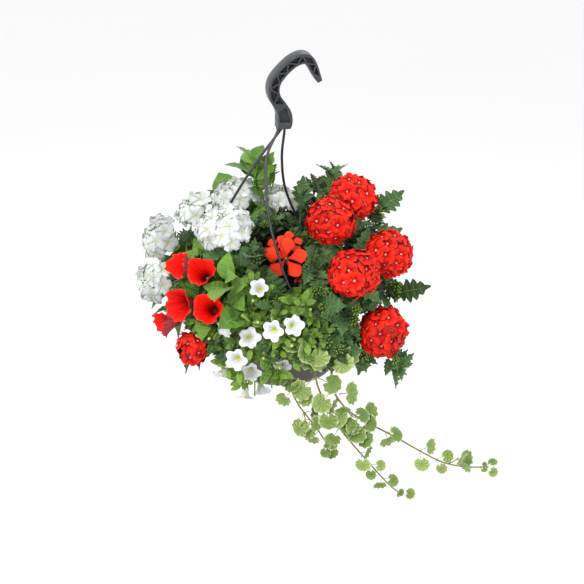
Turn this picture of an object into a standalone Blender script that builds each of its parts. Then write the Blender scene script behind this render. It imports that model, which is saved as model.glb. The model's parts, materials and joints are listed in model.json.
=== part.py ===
"""Flowering hanging basket: a tapered plastic pot on a ribbed hook with three strands, planted with
red and white verbena, red petunia, white calibrachoa, a red geranium and trailing variegated ivy.

Metres, +Z up. The origin is where the hook's inner curve rests on its bar, and -Y is the side that is
seen first. Plants are placed from the middle of the pot's rim, which RIM gives in the object's frame.
"""

import math
import random

import bmesh
import bpy
from mathutils import Matrix, Vector
from mathutils.bvhtree import BVHTree

# Driving dimensions of the pot and its soil
RIM = Vector((-0.024, 0.0, -0.270))
RIM_RADIUS = 0.105
RIM_THICKNESS = 0.003
SKIRT_HEIGHT = 0.010
SKIRT_THICKNESS = 0.002
WALL_TOP_RADIUS = 0.0925
BASE_RADIUS = 0.0655
POT_HEIGHT = 0.120
WALL = 0.0025
TURNED_STEPS = 24
SOIL_DROP = 0.013
SOIL_CROWN = 0.006
HOLE_DEPTH = 0.020
DRAIN_RADIUS = 0.004
DRAIN_CIRCLE = 0.040
DRAINS = 4
GAP = 0.0003

# Driving dimensions of the hanger
HOOK_DEPTH = 0.019
RAIL = 0.0022
RIB = 0.0016
WEB = 0.004
FOOT_Z = -0.0772
STRAND_RADIUS = 0.0016
STRAND_HOLE_RADIUS = 0.0026
STRAND_CIRCLE = 0.0975
BARB_RADIUS = 0.0040
BARB_LENGTH = 0.006
FRONT_STRAND_TURN = 12.0

# Driving dimensions of the plants. Their leaves leave the blooms open to TO_VIEW
TO_VIEW = Vector((0.0, -0.914, 0.407))
BLADE = 0.0008
STEM_RADIUS = 0.0020
TIP_RADIUS = 0.0012
STEM_SIDES = 4
LEAF_ROOT_OFFSET = 0.0006
SEED = 11
BRANCH_TRIES = 240

# Joins the many thin pieces of a plant cleanly where they only just touch
UNION_SOLVER = "MANIFOLD"

parts = None
pieces = None
obstacles = {}
open_views = []


def clear_scene():
    """Removes the objects that the scene starts with, and makes the two collections."""
    global parts, pieces
    for obj in list(bpy.data.objects):
        bpy.data.objects.remove(obj, do_unlink=True)
    parts = bpy.data.collections.new("hanging_basket")
    pieces = bpy.data.collections.new("cutters_and_pieces")
    for collection in (parts, pieces):
        bpy.context.scene.collection.children.link(collection)


def material(name, colour, roughness):
    """A plain surface of one colour."""
    made = bpy.data.materials.new(name)
    made.use_nodes = True
    shader = made.node_tree.nodes["Principled BSDF"]
    shader.inputs["Base Color"].default_value = (*colour, 1.0)
    shader.inputs["Roughness"].default_value = roughness
    shader.inputs["Metallic"].default_value = 0.0
    made.diffuse_color = (*colour, 1.0)
    return made


def object_of(name, mesh, collection, surface=None):
    obj = bpy.data.objects.new(name, mesh)
    collection.objects.link(obj)
    if surface is not None:
        mesh.materials.clear()
        mesh.materials.append(surface)
    return obj


def mesh_of(bm, name):
    """The closed bmesh as a mesh, with its faces pointing out."""
    bmesh.ops.recalc_face_normals(bm, faces=bm.faces)
    if bm.calc_volume(signed=True) < 0:
        bmesh.ops.reverse_faces(bm, faces=bm.faces)
    mesh = bpy.data.meshes.new(name)
    bm.to_mesh(mesh)
    bm.free()
    return mesh


def evaluated_mesh(obj):
    bpy.context.view_layer.update()
    graph = bpy.context.evaluated_depsgraph_get()
    return bpy.data.meshes.new_from_object(obj.evaluated_get(graph))


def thin_out(obj, share):
    """Takes out the needless edges that a union leaves in flat faces, down to a share of them."""
    modifier = obj.modifiers.new("thin_out", "DECIMATE")
    modifier.ratio = share
    old = obj.data
    made = evaluated_mesh(obj)
    obj.modifiers.clear()
    obj.data = made
    bpy.data.meshes.remove(old)


def boolean(obj, others, operation, solver="EXACT"):
    """Joins or cuts obj with every mesh in others, and removes them."""
    group = bpy.data.collections.new(obj.name + "_" + operation.lower())
    pieces.children.link(group)
    for other in others:
        group.objects.link(other)
        other.hide_render = True
        other.display_type = "WIRE"
    modifier = obj.modifiers.new(operation.lower(), "BOOLEAN")
    modifier.operation = operation
    modifier.operand_type = "COLLECTION"
    modifier.collection = group
    modifier.solver = solver
    old = obj.data
    made = evaluated_mesh(obj)
    obj.modifiers.clear()
    obj.data = made
    bpy.data.meshes.remove(old)
    for other in others:
        bpy.data.objects.remove(other, do_unlink=True)
    bpy.data.collections.remove(group)
    keep_main_body(obj)


def keep_main_body(obj):
    """Drops what a union leaves apart from the main body: loose scraps and sealed pockets."""
    bm = bmesh.new()
    bm.from_mesh(obj.data)
    bmesh.ops.triangulate(bm, faces=bm.faces)
    group = {}
    volumes = []
    for start in bm.faces:
        if start in group:
            continue
        group[start] = len(volumes)
        waiting = [start]
        volume = 0.0
        while waiting:
            face = waiting.pop()
            a, b, c = (vert.co for vert in face.verts)
            volume += a.dot(b.cross(c)) / 6
            for edge in face.edges:
                for other in edge.link_faces:
                    if other not in group:
                        group[other] = len(volumes)
                        waiting.append(other)
        volumes.append(volume)
    main_body = volumes.index(max(volumes))
    scraps = [face for face in bm.faces if group[face] != main_body]
    bmesh.ops.delete(bm, geom=scraps, context="FACES")
    bm.to_mesh(obj.data)
    bm.free()


def turned(name, profile, surface):
    """A profile of (radius, height) points from the rim's middle, turned round the pot's axis."""
    mesh = bpy.data.meshes.new(name)
    points = [(radius, 0.0, height) for radius, height in profile]
    mesh.from_pydata(points, [(i, i + 1) for i in range(len(points) - 1)], [])
    obj = object_of(name, mesh, parts, surface)
    screw = obj.modifiers.new("turn", "SCREW")
    screw.steps = TURNED_STEPS
    screw.render_steps = TURNED_STEPS
    screw.use_merge_vertices = True
    screw.merge_threshold = 0.00005
    old = obj.data
    obj.data = evaluated_mesh(obj)
    obj.modifiers.clear()
    bpy.data.meshes.remove(old)
    obj.data.transform(Matrix.Translation(RIM))
    return obj


def cylinder(radius, low, high, place, sides=8):
    """An upright cylinder between two heights, as a loose cutter."""
    bm = bmesh.new()
    bmesh.ops.create_cone(
        bm, cap_ends=True, segments=sides, radius1=radius, radius2=radius, depth=high - low
    )
    bm.transform(Matrix.Translation((place[0], place[1], (low + high) / 2)))
    mesh = mesh_of(bm, "cylinder")
    obj = bpy.data.objects.new("cylinder", mesh)
    return obj


def tube(points, radii, sides=STEM_SIDES):
    """A tapered tube through the points, with its ends closed, as a mesh."""
    curve = bpy.data.curves.new("tube", "CURVE")
    curve.dimensions = "3D"
    curve.bevel_depth = 1.0
    curve.bevel_resolution = (sides - 4) // 2
    curve.use_fill_caps = True
    curve.twist_mode = "MINIMUM"
    spline = curve.splines.new("POLY")
    spline.points.add(len(points) - 1)
    for point, place, radius in zip(spline.points, points, radii):
        point.co = (*place, 1.0)
        point.radius = radius
    obj = object_of("tube", curve, pieces)
    mesh = evaluated_mesh(obj)
    bpy.data.objects.remove(obj, do_unlink=True)
    bpy.data.curves.remove(curve)
    bm = bmesh.new()
    bm.from_mesh(mesh)
    bpy.data.meshes.remove(mesh)
    bmesh.ops.remove_doubles(bm, verts=bm.verts, dist=0.00002)
    bmesh.ops.triangulate(bm, faces=bm.faces)
    return mesh_of(bm, "tube")


def smooth_path(corners, count):
    """Evenly spaced points on a smooth curve through the corners."""
    ends = [2 * corners[0] - corners[1], *corners, 2 * corners[-1] - corners[-2]]
    fine = []
    steps = 16
    for a, b, c, d in zip(ends, ends[1:], ends[2:], ends[3:]):
        for i in range(steps):
            t = i / steps
            fine.append(
                0.5
                * (
                    2 * b
                    + (c - a) * t
                    + (2 * a - 5 * b + 4 * c - d) * t * t
                    + (3 * b - a - 3 * c + d) * t**3
                )
            )
    fine.append(corners[-1])
    lengths = [0.0]
    for a, b in zip(fine, fine[1:]):
        lengths.append(lengths[-1] + (b - a).length)
    found = []
    at = 0
    for i in range(count):
        wanted = lengths[-1] * i / (count - 1)
        while at < len(fine) - 2 and lengths[at + 1] < wanted:
            at += 1
        share = (wanted - lengths[at]) / max(lengths[at + 1] - lengths[at], 1e-9)
        found.append(fine[at].lerp(fine[at + 1], min(max(share, 0.0), 1.0)))
    return found


def tree_of(mesh):
    return BVHTree.FromPolygons([v.co for v in mesh.vertices], [p.vertices for p in mesh.polygons])


def keep_clear_of(name, mesh):
    """Adds a solid to those that later pieces of other nodes have to miss."""
    obstacles.setdefault(name, []).append(tree_of(mesh))


def keep_open(place, way, radius, near, far):
    """Keeps leaves out of a round space in front of a bloom or a strand."""
    bm = bmesh.new()
    bmesh.ops.create_cone(
        bm, cap_ends=True, segments=6, radius1=radius, radius2=radius, depth=far - near
    )
    way = Vector(way).normalized()
    bm.transform(Matrix.Translation(Vector(place) + way * (near + far) / 2) @ turn_to(way))
    mesh = mesh_of(bm, "view")
    open_views.append(tree_of(mesh))
    bpy.data.meshes.remove(mesh)


def crosses(mesh, own):
    """Whether the mesh cuts any solid of a node other than its own, or any leaf at all."""
    tree = tree_of(mesh)
    return any(
        tree.overlap(other) for name, trees in obstacles.items() if name != own for other in trees
    )


# Pot, soil and hanger


def pot(surface):
    """The tapered pot with a flat flange and a short skirt, three strand holes and four drains."""
    inner_base = BASE_RADIUS - WALL
    profile = [
        (0.0, -POT_HEIGHT + WALL),
        (inner_base, -POT_HEIGHT + WALL),
        (WALL_TOP_RADIUS - WALL, 0.0),
        (RIM_RADIUS, 0.0),
        (RIM_RADIUS, -SKIRT_HEIGHT),
        (RIM_RADIUS - SKIRT_THICKNESS, -SKIRT_HEIGHT),
        (RIM_RADIUS - SKIRT_THICKNESS, -RIM_THICKNESS),
        (WALL_TOP_RADIUS, -RIM_THICKNESS),
        (BASE_RADIUS, -POT_HEIGHT + WALL),
        (BASE_RADIUS - WALL, -POT_HEIGHT),
        (0.0, -POT_HEIGHT),
    ]
    obj = turned("pot", profile, surface)
    cutters = []
    for k in range(3):
        x, y = strand_seat(k)
        top = RIM.z + RIM_THICKNESS
        cutters.append(cylinder(STRAND_HOLE_RADIUS, top - 3 * RIM_THICKNESS, top, (x, y)))
    for k in range(DRAINS):
        angle = math.tau * (k + 0.5) / DRAINS
        place = (RIM.x + DRAIN_CIRCLE * math.cos(angle), RIM.y + DRAIN_CIRCLE * math.sin(angle))
        low = RIM.z - POT_HEIGHT - WALL
        cutters.append(cylinder(DRAIN_RADIUS, low, low + 3 * WALL, place, 6))
    boolean(obj, cutters, "DIFFERENCE")
    keep_clear_of("pot", obj.data)
    return obj


def soil_radius(height):
    """The soil's radius where it fills the tapered pot, a little clear of the wall."""
    share = (height + POT_HEIGHT - WALL) / (POT_HEIGHT - WALL)
    low, high = BASE_RADIUS - WALL, WALL_TOP_RADIUS - WALL
    return low + (high - low) * share - GAP


def soil(surface, roots):
    """The potting soil, filling the pot to just under its rim, with a plain hole for each stem."""
    floor = -POT_HEIGHT + WALL + GAP
    profile = [
        (0.0, -SOIL_DROP + SOIL_CROWN),
        (0.5 * RIM_RADIUS, -SOIL_DROP + 0.6 * SOIL_CROWN),
        (soil_radius(-SOIL_DROP), -SOIL_DROP),
        (soil_radius(floor), floor),
        (0.0, floor),
    ]
    obj = turned("soil", profile, surface)
    top = RIM.z + SOIL_CROWN
    cutters = [
        cylinder(STEM_RADIUS + 2 * GAP, root.z - GAP, top, (root.x, root.y), 6) for root in roots
    ]
    boolean(obj, cutters, "DIFFERENCE")
    return obj


def strand_seat(k):
    """Where strand k goes through the rim: the front one first, then round to the right and left."""
    angle = math.radians(FRONT_STRAND_TURN + 120.0 * k)
    return RIM.x + STRAND_CIRCLE * math.sin(angle), RIM.y - STRAND_CIRCLE * math.cos(angle)


# The hook's middle line from its nose to its foot, as (x, z, half width), with the bar at the origin
HOOK_LINE = [
    (0.0205, -0.0222, 0.0030),
    (0.0172, -0.0152, 0.0042),
    (0.0126, -0.0046, 0.0054),
    (0.0075, 0.0038, 0.0060),
    (-0.0003, 0.0062, 0.0060),
    (-0.0112, 0.0020, 0.0058),
    (-0.0232, -0.0082, 0.0058),
    (-0.0321, -0.0197, 0.0062),
    (-0.0345, -0.0303, 0.0066),
    (-0.0323, -0.0401, 0.0068),
    (-0.0262, -0.0496, 0.0072),
    (-0.0216, -0.0598, 0.0083),
    (-0.0212, -0.0698, 0.0087),
    (-0.0228, FOOT_Z, 0.0073),
]
HOOK_SAMPLES = 27
HOOK_TURN = math.radians(13.0)
TRUSS_BAYS = 12
TRUSS_START = 0.05
TRUSS_END = 0.80


def hook_frame(share):
    """The hook's middle point, sideways direction and half width at a share of its length."""
    line = smooth_path([Vector((x, z, half)) for x, z, half in HOOK_LINE], 101)
    at = min(int(share * 100), 99)
    place = line[at].lerp(line[at + 1], share * 100 - at)
    along = Vector((line[at + 1].x - line[at].x, line[at + 1].y - line[at].y)).normalized()
    return Vector((place.x, place.y)), Vector((-along.y, along.x)), place.z


def flat_prism(outline, low, high):
    """The outline in the XZ plane, as a solid between two depths."""
    bm = bmesh.new()
    face = bm.faces.new([bm.verts.new((x, low, z)) for x, z in outline])
    made = bmesh.ops.extrude_face_region(bm, geom=[face])
    moved = [v for v in made["geom"] if isinstance(v, bmesh.types.BMVert)]
    bmesh.ops.translate(bm, verts=moved, vec=(0.0, high - low, 0.0))
    bmesh.ops.triangulate(bm, faces=bm.faces)
    return mesh_of(bm, "prism")


def hook(surface):
    """The moulded hook: an outline with a truss of pockets sunk in both faces, and a plain foot."""
    shares = [i / (HOOK_SAMPLES - 1) for i in range(HOOK_SAMPLES)]
    frames = [hook_frame(share) for share in shares]
    frames[-1] = (frames[-1][0], Vector((1.0, 0.0)), frames[-1][2])
    outer = [place + side * half for place, side, half in frames]
    inner = [place - side * half for place, side, half in frames]
    mesh = flat_prism([*outer, *reversed(inner)], -HOOK_DEPTH / 2, HOOK_DEPTH / 2)
    obj = object_of("hanger_hook", mesh, parts, surface)
    zigzag = []
    for k in range(TRUSS_BAYS + 2):
        share = TRUSS_START + (TRUSS_END - TRUSS_START) * k / (TRUSS_BAYS + 1)
        place, side, half = hook_frame(share)
        zigzag.append(place + side * (half - RAIL) * (1 if k % 2 else -1))
    pockets = [zigzag[k : k + 3] for k in range(TRUSS_BAYS)]
    place, side, half = hook_frame(0.94)
    high, high_side, high_half = hook_frame(0.83)
    foot = [
        high + high_side * (high_half - RAIL),
        high - high_side * (high_half - RAIL),
        place - side * (half - RAIL),
        place + side * (half - RAIL),
    ]
    cutters = []
    for corners in [*pockets, foot]:
        middle = sum(corners, Vector((0.0, 0.0))) / len(corners)
        reach = min((corner - middle).length for corner in corners)
        shrunk = [middle + (corner - middle) * (1 - RIB / reach) for corner in corners]
        for low, high_y in ((-HOOK_DEPTH, -WEB / 2), (WEB / 2, HOOK_DEPTH)):
            cutters.append(bpy.data.objects.new("pocket", flat_prism(shrunk, low, high_y)))
    boolean(obj, cutters, "DIFFERENCE")
    obj.data.transform(Matrix.Rotation(HOOK_TURN, 4, "Z"))
    keep_clear_of("hanger_hook", obj.data)
    return obj


# Each strand's route from the hook's foot to its seat, from the middle of the rim
STRAND_ROUTES = {
    "hanger_strand_front": [
        (-0.0035, -0.006, 0.194),
        (-0.0175, -0.023, 0.155),
        (-0.0140, -0.052, 0.097),
        (0.0030, -0.081, 0.040),
        (0.0170, -0.094, 0.012),
    ],
    "hanger_strand_right": [
        (0.0045, 0.001, 0.194),
        (0.0010, 0.019, 0.145),
        (0.0060, 0.036, 0.097),
        (0.0260, 0.052, 0.048),
        (0.0640, 0.063, 0.013),
    ],
    "hanger_strand_left": [
        (0.0006, 0.001, 0.194),
        (-0.0280, -0.001, 0.149),
        (-0.0560, -0.001, 0.104),
        (-0.0780, 0.011, 0.058),
        (-0.0900, 0.029, 0.013),
    ],
}


def strand(name, k, surface):
    """A round strand from under the hook's foot, through its hole in the rim, to a barb below it."""
    x, y = strand_seat(k)
    route = [RIM + Vector(point) for point in STRAND_ROUTES[name]]
    route[0].z = FOOT_Z - GAP - 0.004
    under = RIM.z - RIM_THICKNESS - GAP
    top = route[0] + Vector((0, 0, 0.004))
    points = [top, *smooth_path([*route, Vector((x, y, RIM.z + 0.004))], 11)]
    points.append(Vector((x, y, under - BARB_LENGTH / 2)))
    mesh = tube(points, [STRAND_RADIUS] * len(points), 6)
    obj = object_of(name, mesh, parts, surface)
    bm = bmesh.new()
    bmesh.ops.create_cone(
        bm,
        cap_ends=True,
        segments=8,
        radius1=STRAND_RADIUS,
        radius2=BARB_RADIUS,
        depth=BARB_LENGTH,
    )
    bm.transform(Matrix.Translation((x, y, under - BARB_LENGTH / 2)))
    barb = bpy.data.objects.new("barb", mesh_of(bm, "barb"))
    boolean(obj, [barb], "UNION")
    keep_clear_of(name, obj.data)
    for place in points[2:-2]:
        keep_open(place, TO_VIEW, 0.004, 0.004, 0.060)
    return obj


# Blooms. Each row is the bloom's middle from the rim's middle, the way it faces, and its radius

RED_VERBENA_HEADS = [
    ((0.086, 0.004, 0.100), (0.20, -0.60, 0.85), 0.029),
    ((0.059, -0.066, 0.098), (0.00, -0.65, 0.80), 0.030),
    ((0.128, -0.062, 0.055), (0.30, -0.65, 0.75), 0.029),
    ((0.084, -0.118, 0.054), (0.10, -0.75, 0.70), 0.030),
    ((0.120, -0.095, -0.031), (0.45, -0.85, 0.30), 0.031),
    ((-0.104, -0.101, -0.050), (-0.50, -0.80, 0.00), 0.019),
    ((0.075, 0.105, 0.052), (0.30, 0.75, 0.60), 0.028),
]
WHITE_VERBENA_HEADS = [
    ((-0.066, -0.073, 0.091), (-0.15, -0.30, 0.95), 0.034),
    ((-0.058, 0.055, 0.083), (-0.20, -0.15, 0.95), 0.029),
    ((-0.106, -0.010, 0.090), (-0.50, -0.30, 0.80), 0.021),
    ((-0.146, -0.012, 0.055), (-0.80, -0.45, 0.50), 0.027),
    ((-0.152, -0.056, 0.017), (-0.75, -0.65, 0.25), 0.0246),
    ((-0.002, 0.067, 0.074), (0.10, -0.10, 0.95), 0.023),
    ((-0.020, 0.112, 0.030), (-0.10, 0.85, 0.50), 0.027),
]
PETUNIAS = [
    ((-0.122, -0.104, 0.007), (-0.65, -0.75, 0.15), 0.021),
    ((-0.084, -0.130, 0.015), (-0.25, -0.80, 0.50), 0.019),
    ((-0.121, -0.084, 0.051), (-0.65, -0.50, 0.50), 0.0165),
    ((-0.092, -0.102, 0.050), (-0.20, -0.65, 0.70), 0.018),
    ((-0.146, -0.060, -0.040), (-0.85, -0.45, -0.10), 0.017),
    ((-0.080, 0.108, 0.026), (-0.50, 0.75, 0.45), 0.021),
]
CALIBRACHOAS = [
    ((-0.036, -0.136, -0.020), (0.10, -0.90, 0.35), 0.0135),
    ((-0.052, -0.148, -0.043), (-0.25, -0.90, 0.20), 0.0135),
    ((-0.009, -0.152, -0.004), (-0.20, -0.90, 0.25), 0.0130),
    ((0.016, -0.146, 0.000), (0.25, -0.85, 0.35), 0.0130),
    ((-0.036, -0.124, -0.072), (-0.05, -0.95, -0.10), 0.0135),
    ((-0.066, -0.132, -0.012), (-0.60, -0.70, -0.20), 0.0110),
    ((-0.025, -0.128, 0.040), (-0.10, -0.75, 0.60), 0.0115),
    ((-0.023, -0.104, -0.108), (0.20, -0.65, -0.60), 0.0125),
    ((-0.044, -0.092, -0.122), (-0.10, -0.40, -0.90), 0.0110),
    ((-0.074, -0.088, -0.096), (-0.50, -0.60, -0.55), 0.0130),
    ((0.002, -0.122, -0.066), (0.15, -0.90, -0.25), 0.0120),
    ((0.030, 0.128, -0.010), (0.20, 0.90, 0.10), 0.0130),
]
GERANIUM = ((0.004, -0.048, 0.044), (0.00, -0.80, 0.60), 0.0165)

FLORET_DISH = 0.90
PETAL_TIP = 0.96
PETAL_NOTCH = 0.62
HEAD_CORE = 0.55
HEAD_SEAT = 0.50
HEAD_FLORETS = 12
SMALL_HEAD_FLORETS = 9
SMALL_HEAD = 0.0245
LOWEST_FLORET = -0.42


def turn_to(direction):
    """The rotation that takes +Z to the direction."""
    return Vector(direction).to_track_quat("Z", "Y").to_matrix().to_4x4()


def floret_cells(count, rng):
    """Directions spread over a ball's upper part, with one more below as its seat, each with the
    corners of the cell that is nearest to it, in order round it."""
    bm = bmesh.new()
    turn = rng.uniform(0.0, math.tau)
    for k in range(count):
        z = 1.0 - (1.0 - LOWEST_FLORET) * (k + 0.25) / (count - 0.5)
        angle = turn + k * math.pi * (3 - math.sqrt(5))
        across = math.sqrt(1 - z * z)
        bm.verts.new((across * math.cos(angle), across * math.sin(angle), z))
    bm.verts.new((0.0, 0.0, -1.0))
    bmesh.ops.convex_hull(bm, input=bm.verts)
    bm.normal_update()
    cells = []
    for vert in bm.verts:
        around = turn_to(vert.co).inverted()
        corners = [(around @ face.normal, face.index, face.normal.copy()) for face in vert.link_faces]
        corners.sort(key=lambda c: math.atan2(c[0].y, c[0].x))
        cells.append((vert.co.copy(), [corner[2] for corner in corners]))
    bm.free()
    return cells


def reach_to_edge(angle, corners):
    """How far a ray at the angle goes from the cell's middle to its edge, in the cell's own plane."""
    ray = Vector((math.cos(angle), math.sin(angle)))
    for a, b in zip(corners, [*corners[1:], corners[0]]):
        side = b - a
        cross = ray.x * side.y - ray.y * side.x
        if abs(cross) < 1e-9:
            continue
        far = (a.x * side.y - a.y * side.x) / cross
        share = (a.x * ray.y - a.y * ray.x) / cross
        if far > 0 and -1e-6 <= share <= 1 + 1e-6:
            return far
    return 0.0


def verbena_head(name, row, flat, rng, surface):
    """A ball of five-petalled florets that stand out of one small core, over a flat seat."""
    place, facing, radius = row
    count = SMALL_HEAD_FLORETS if radius < SMALL_HEAD else HEAD_FLORETS
    bm = bmesh.new()
    shared = {}
    for middle, ring in floret_cells(count, rng):
        floor = []
        for direction in ring:
            key = tuple(round(c, 4) for c in direction)
            if key not in shared:
                shared[key] = bm.verts.new(direction * radius * HEAD_CORE)
            floor.append(shared[key])
        if middle.z < -0.99:
            rim = [bm.verts.new(v.co * 0.25) for v in floor]
            for vert in rim:
                vert.co.z = -radius * HEAD_SEAT
            bm.faces.new(rim)
        else:
            basis = turn_to(middle)
            flat_corners = [basis.inverted() @ (d / d.dot(middle)) for d in ring]
            turn = rng.uniform(0.0, math.tau)
            size = radius * rng.uniform(0.93, 1.05)
            rim = []
            for i in range(10):
                angle = turn + math.tau * i / 10
                reach = reach_to_edge(angle, flat_corners) * (PETAL_NOTCH if i % 2 else PETAL_TIP)
                spread = basis @ Vector((reach * math.cos(angle), reach * math.sin(angle), 1.0))
                rim.append(bm.verts.new(spread.normalized() * size))
            throat = bm.verts.new(middle * size * FLORET_DISH)
            for a, b in zip(rim, [*rim[1:], rim[0]]):
                bm.faces.new((a, b, throat))
        edges = []
        for loop in (floor, rim):
            for a, b in zip(loop, [*loop[1:], loop[0]]):
                edges.append(bm.edges.get((a, b)) or bm.edges.new((a, b)))
        bmesh.ops.bridge_loops(bm, edges=edges)
    bmesh.ops.triangulate(bm, faces=bm.faces)
    bm.transform(
        Matrix.Translation(RIM + Vector(place)) @ turn_to(facing) @ Matrix.Diagonal((1, 1, flat, 1))
    )
    obj = object_of(name, mesh_of(bm, name), parts, surface)
    keep_clear_of(name, obj.data)
    facing = Vector(facing).normalized()
    keep_open(RIM + Vector(place), facing + TO_VIEW, 0.6 * radius, radius, radius + 0.03)
    return obj, RIM + Vector(place) - facing * (radius * HEAD_SEAT * flat + GAP), facing


def trumpet(name, row, depth, throat, notch, rng, surface):
    """A trumpet flower: five fused petals with a lobed, ruffled rim on a tapering five-sided tube."""
    place, facing, radius = row
    bm = bmesh.new()
    ruffle = [rng.uniform(-0.10, 0.06) * radius for _ in range(10)]

    def ring(sides, size, height, lobed=False):
        loop = []
        for i in range(sides):
            angle = math.tau * i / sides
            reach = size * (notch if lobed and i % 2 else 1.0)
            rise = ruffle[i] if lobed else 0.0
            point = (reach * math.cos(angle), reach * math.sin(angle), height + rise)
            loop.append(bm.verts.new(point))
        return loop

    base = ring(5, 0.0016, -depth)
    neck = ring(5, throat, -0.45 * depth)
    under = ring(10, radius, -0.0012, True)
    rim = ring(10, radius, 0.0, True)
    deep = bm.verts.new((0.0, 0.0, -0.36 * depth))
    bm.faces.new(reversed(base))
    for i in range(5):
        j = (i + 1) % 5
        bm.faces.new((base[i], base[j], neck[j], neck[i]))
        bm.faces.new((neck[i], neck[j], under[2 * j], under[2 * i + 1]))
        bm.faces.new((neck[i], under[2 * i + 1], under[2 * i]))
    for i in range(10):
        j = (i + 1) % 10
        bm.faces.new((under[i], under[j], rim[j], rim[i]))
        bm.faces.new((rim[i], rim[j], deep))
    bmesh.ops.triangulate(bm, faces=bm.faces)
    bm.transform(Matrix.Translation(RIM + Vector(place)) @ turn_to(facing))
    obj = object_of(name, mesh_of(bm, name), parts, surface)
    keep_clear_of(name, obj.data)
    facing = Vector(facing).normalized()
    keep_open(RIM + Vector(place), facing + TO_VIEW, 0.8 * radius, 0.004, 0.050)
    return obj, RIM + Vector(place) - facing * (depth + GAP), facing


# Leaf and petal outlines: (share of the length, share of the half width) up one side
VERBENA_LEAF = [(0.36, 0.90), (0.44, 0.50), (0.68, 1.00), (0.74, 0.42)]
PETUNIA_LEAF = [(0.22, 0.62), (0.50, 1.00), (0.80, 0.60)]
CALIBRACHOA_LEAF = [(0.36, 0.85), (0.72, 0.85)]
IVY_LEAF = [(0.44, 0.06), (0.36, 0.66), (0.56, 1.00), (0.84, 0.80)]
GERANIUM_LEAF = [(0.40, 0.06), (0.30, 0.66), (0.50, 1.00), (0.66, 0.84), (0.90, 0.66)]


def blade(outline, length, width, fold, droop, thickness=BLADE):
    """A leaf or petal with its root at the origin, along +X, its upper side +Z, folded at its rib."""
    bm = bmesh.new()
    root = bm.verts.new((0.0, 0.0, 0.0))
    tip = bm.verts.new((length, 0.0, 0.0))
    for side in (1, -1):
        edge = [bm.verts.new((t * length, side * w * width / 2, 0.0)) for t, w in outline]
        bm.faces.new((root, tip, *reversed(edge)) if side > 0 else (root, *edge, tip))
    bmesh.ops.triangulate(bm, faces=bm.faces)
    for vert in bm.verts:
        share = vert.co.x / length
        vert.co.z = abs(vert.co.y) * fold - droop * length * share * share
    made = bmesh.ops.extrude_face_region(bm, geom=bm.faces[:], use_keep_orig=True)
    moved = [v for v in made["geom"] if isinstance(v, bmesh.types.BMVert)]
    bmesh.ops.translate(bm, verts=moved, vec=(0.0, 0.0, thickness))
    bm.transform(Matrix.Translation((0.0, 0.0, -thickness / 2)))
    return bm


def blade_frame(root, along, up):
    """The matrix that puts a blade's root at a point, running along one way with its face another."""
    x = along.normalized()
    y = up.cross(x).normalized()
    z = x.cross(y)
    turned_axes = Matrix((x, y, z)).transposed().to_4x4()
    return Matrix.Translation(root) @ turned_axes


def petal_star(radius, thickness, rng):
    """Five separate wedge petals round one centre, each with two outer corners, as one thin plate."""
    bm = bmesh.new()
    layers = []
    for low in (-thickness / 2, thickness / 2):
        layers.append([bm.verts.new((0.0, 0.0, low - 0.10 * radius))])
    for k in range(15):
        petal, corner = divmod(k, 3)
        turn = math.tau * (petal + (0.0, 0.16, 0.84)[corner]) / 5
        reach = radius * ((0.26, 1.0, 1.0)[corner]) * rng.uniform(0.94, 1.05)
        for layer, low in zip(layers, (-thickness / 2, thickness / 2)):
            layer.append(bm.verts.new((reach * math.cos(turn), reach * math.sin(turn), low)))
    under, over = layers
    for i in range(1, 16):
        j = i % 15 + 1
        bm.faces.new((under[0], under[j], under[i]))
        bm.faces.new((over[0], over[i], over[j]))
        bm.faces.new((under[i], under[j], over[j], over[i]))
    bmesh.ops.triangulate(bm, faces=bm.faces)
    return bm


def geranium_bloom(name, row, rng, surface):
    """Three open florets, each of five separate wedge petals, on short stalks from one point."""
    place, facing, radius = row
    facing = Vector(facing).normalized()
    middle = RIM + Vector(place)
    seat = middle - facing * 0.015
    basis = turn_to(facing)
    obj = None
    extra = []
    for k in range(3):
        angle = math.tau * (k + 0.15) / 3
        tilt = basis @ Vector((0.35 * math.cos(angle), 0.35 * math.sin(angle), 1.0)).normalized()
        away = Vector((math.cos(angle), math.sin(angle), 0.12 * (k - 1)))
        heart = middle + basis @ away * (0.95 * radius)
        stalk = tube([seat, seat + facing * 0.003, heart - tilt * 0.001], [0.0018, 0.0016, 0.0014])
        if obj is None:
            obj = object_of(name, stalk, parts, surface)
        else:
            extra.append(bpy.data.objects.new("stalk", stalk))
        bm = petal_star(radius, 0.0010, rng)
        bm.transform(Matrix.Translation(heart) @ turn_to(tilt))
        extra.append(bpy.data.objects.new("floret", mesh_of(bm, "floret")))
    boolean(obj, extra, "UNION", UNION_SOLVER)
    keep_clear_of(name, obj.data)
    keep_open(middle, facing + TO_VIEW, 1.6 * radius, 0.004, 0.060)
    return obj, seat - facing * GAP, facing


# Leafy stems


def bezier(a, b, c, d, count):
    found = []
    for i in range(count):
        t = i / (count - 1)
        s = 1 - t
        found.append(s**3 * a + 3 * s * s * t * b + 3 * s * t * t * c + t**3 * d)
    return found


def stem_radii(count, start=STEM_RADIUS):
    return [start + (TIP_RADIUS - start) * i / (count - 1) for i in range(count)]


def over_the_rim(end, rng, loose):
    """Where a branch that ends low, outside the pot, crosses above the rim and turns down past it."""
    way = Vector((end.x - RIM.x, end.y - RIM.y, 0.0))
    distance = way.length
    way.normalize()
    across = Vector((-way.y, way.x, 0.0)) * rng.uniform(-0.06, 0.06) * loose
    up = Vector((0, 0, 1))
    crest = RIM + way * rng.uniform(0.094, 0.102) + across
    crest += up * rng.uniform(0.007, 0.014 + 0.020 * loose)
    below = RIM.z - end.z
    if below < 0.008 or distance - 0.100 > 1.6 * below:
        return [crest]
    lip = RIM + way * rng.uniform(0.114, 0.122 + 0.010 * loose) + across * 0.8
    return [crest, lip - up * rng.uniform(0.000, 0.010)]


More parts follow.
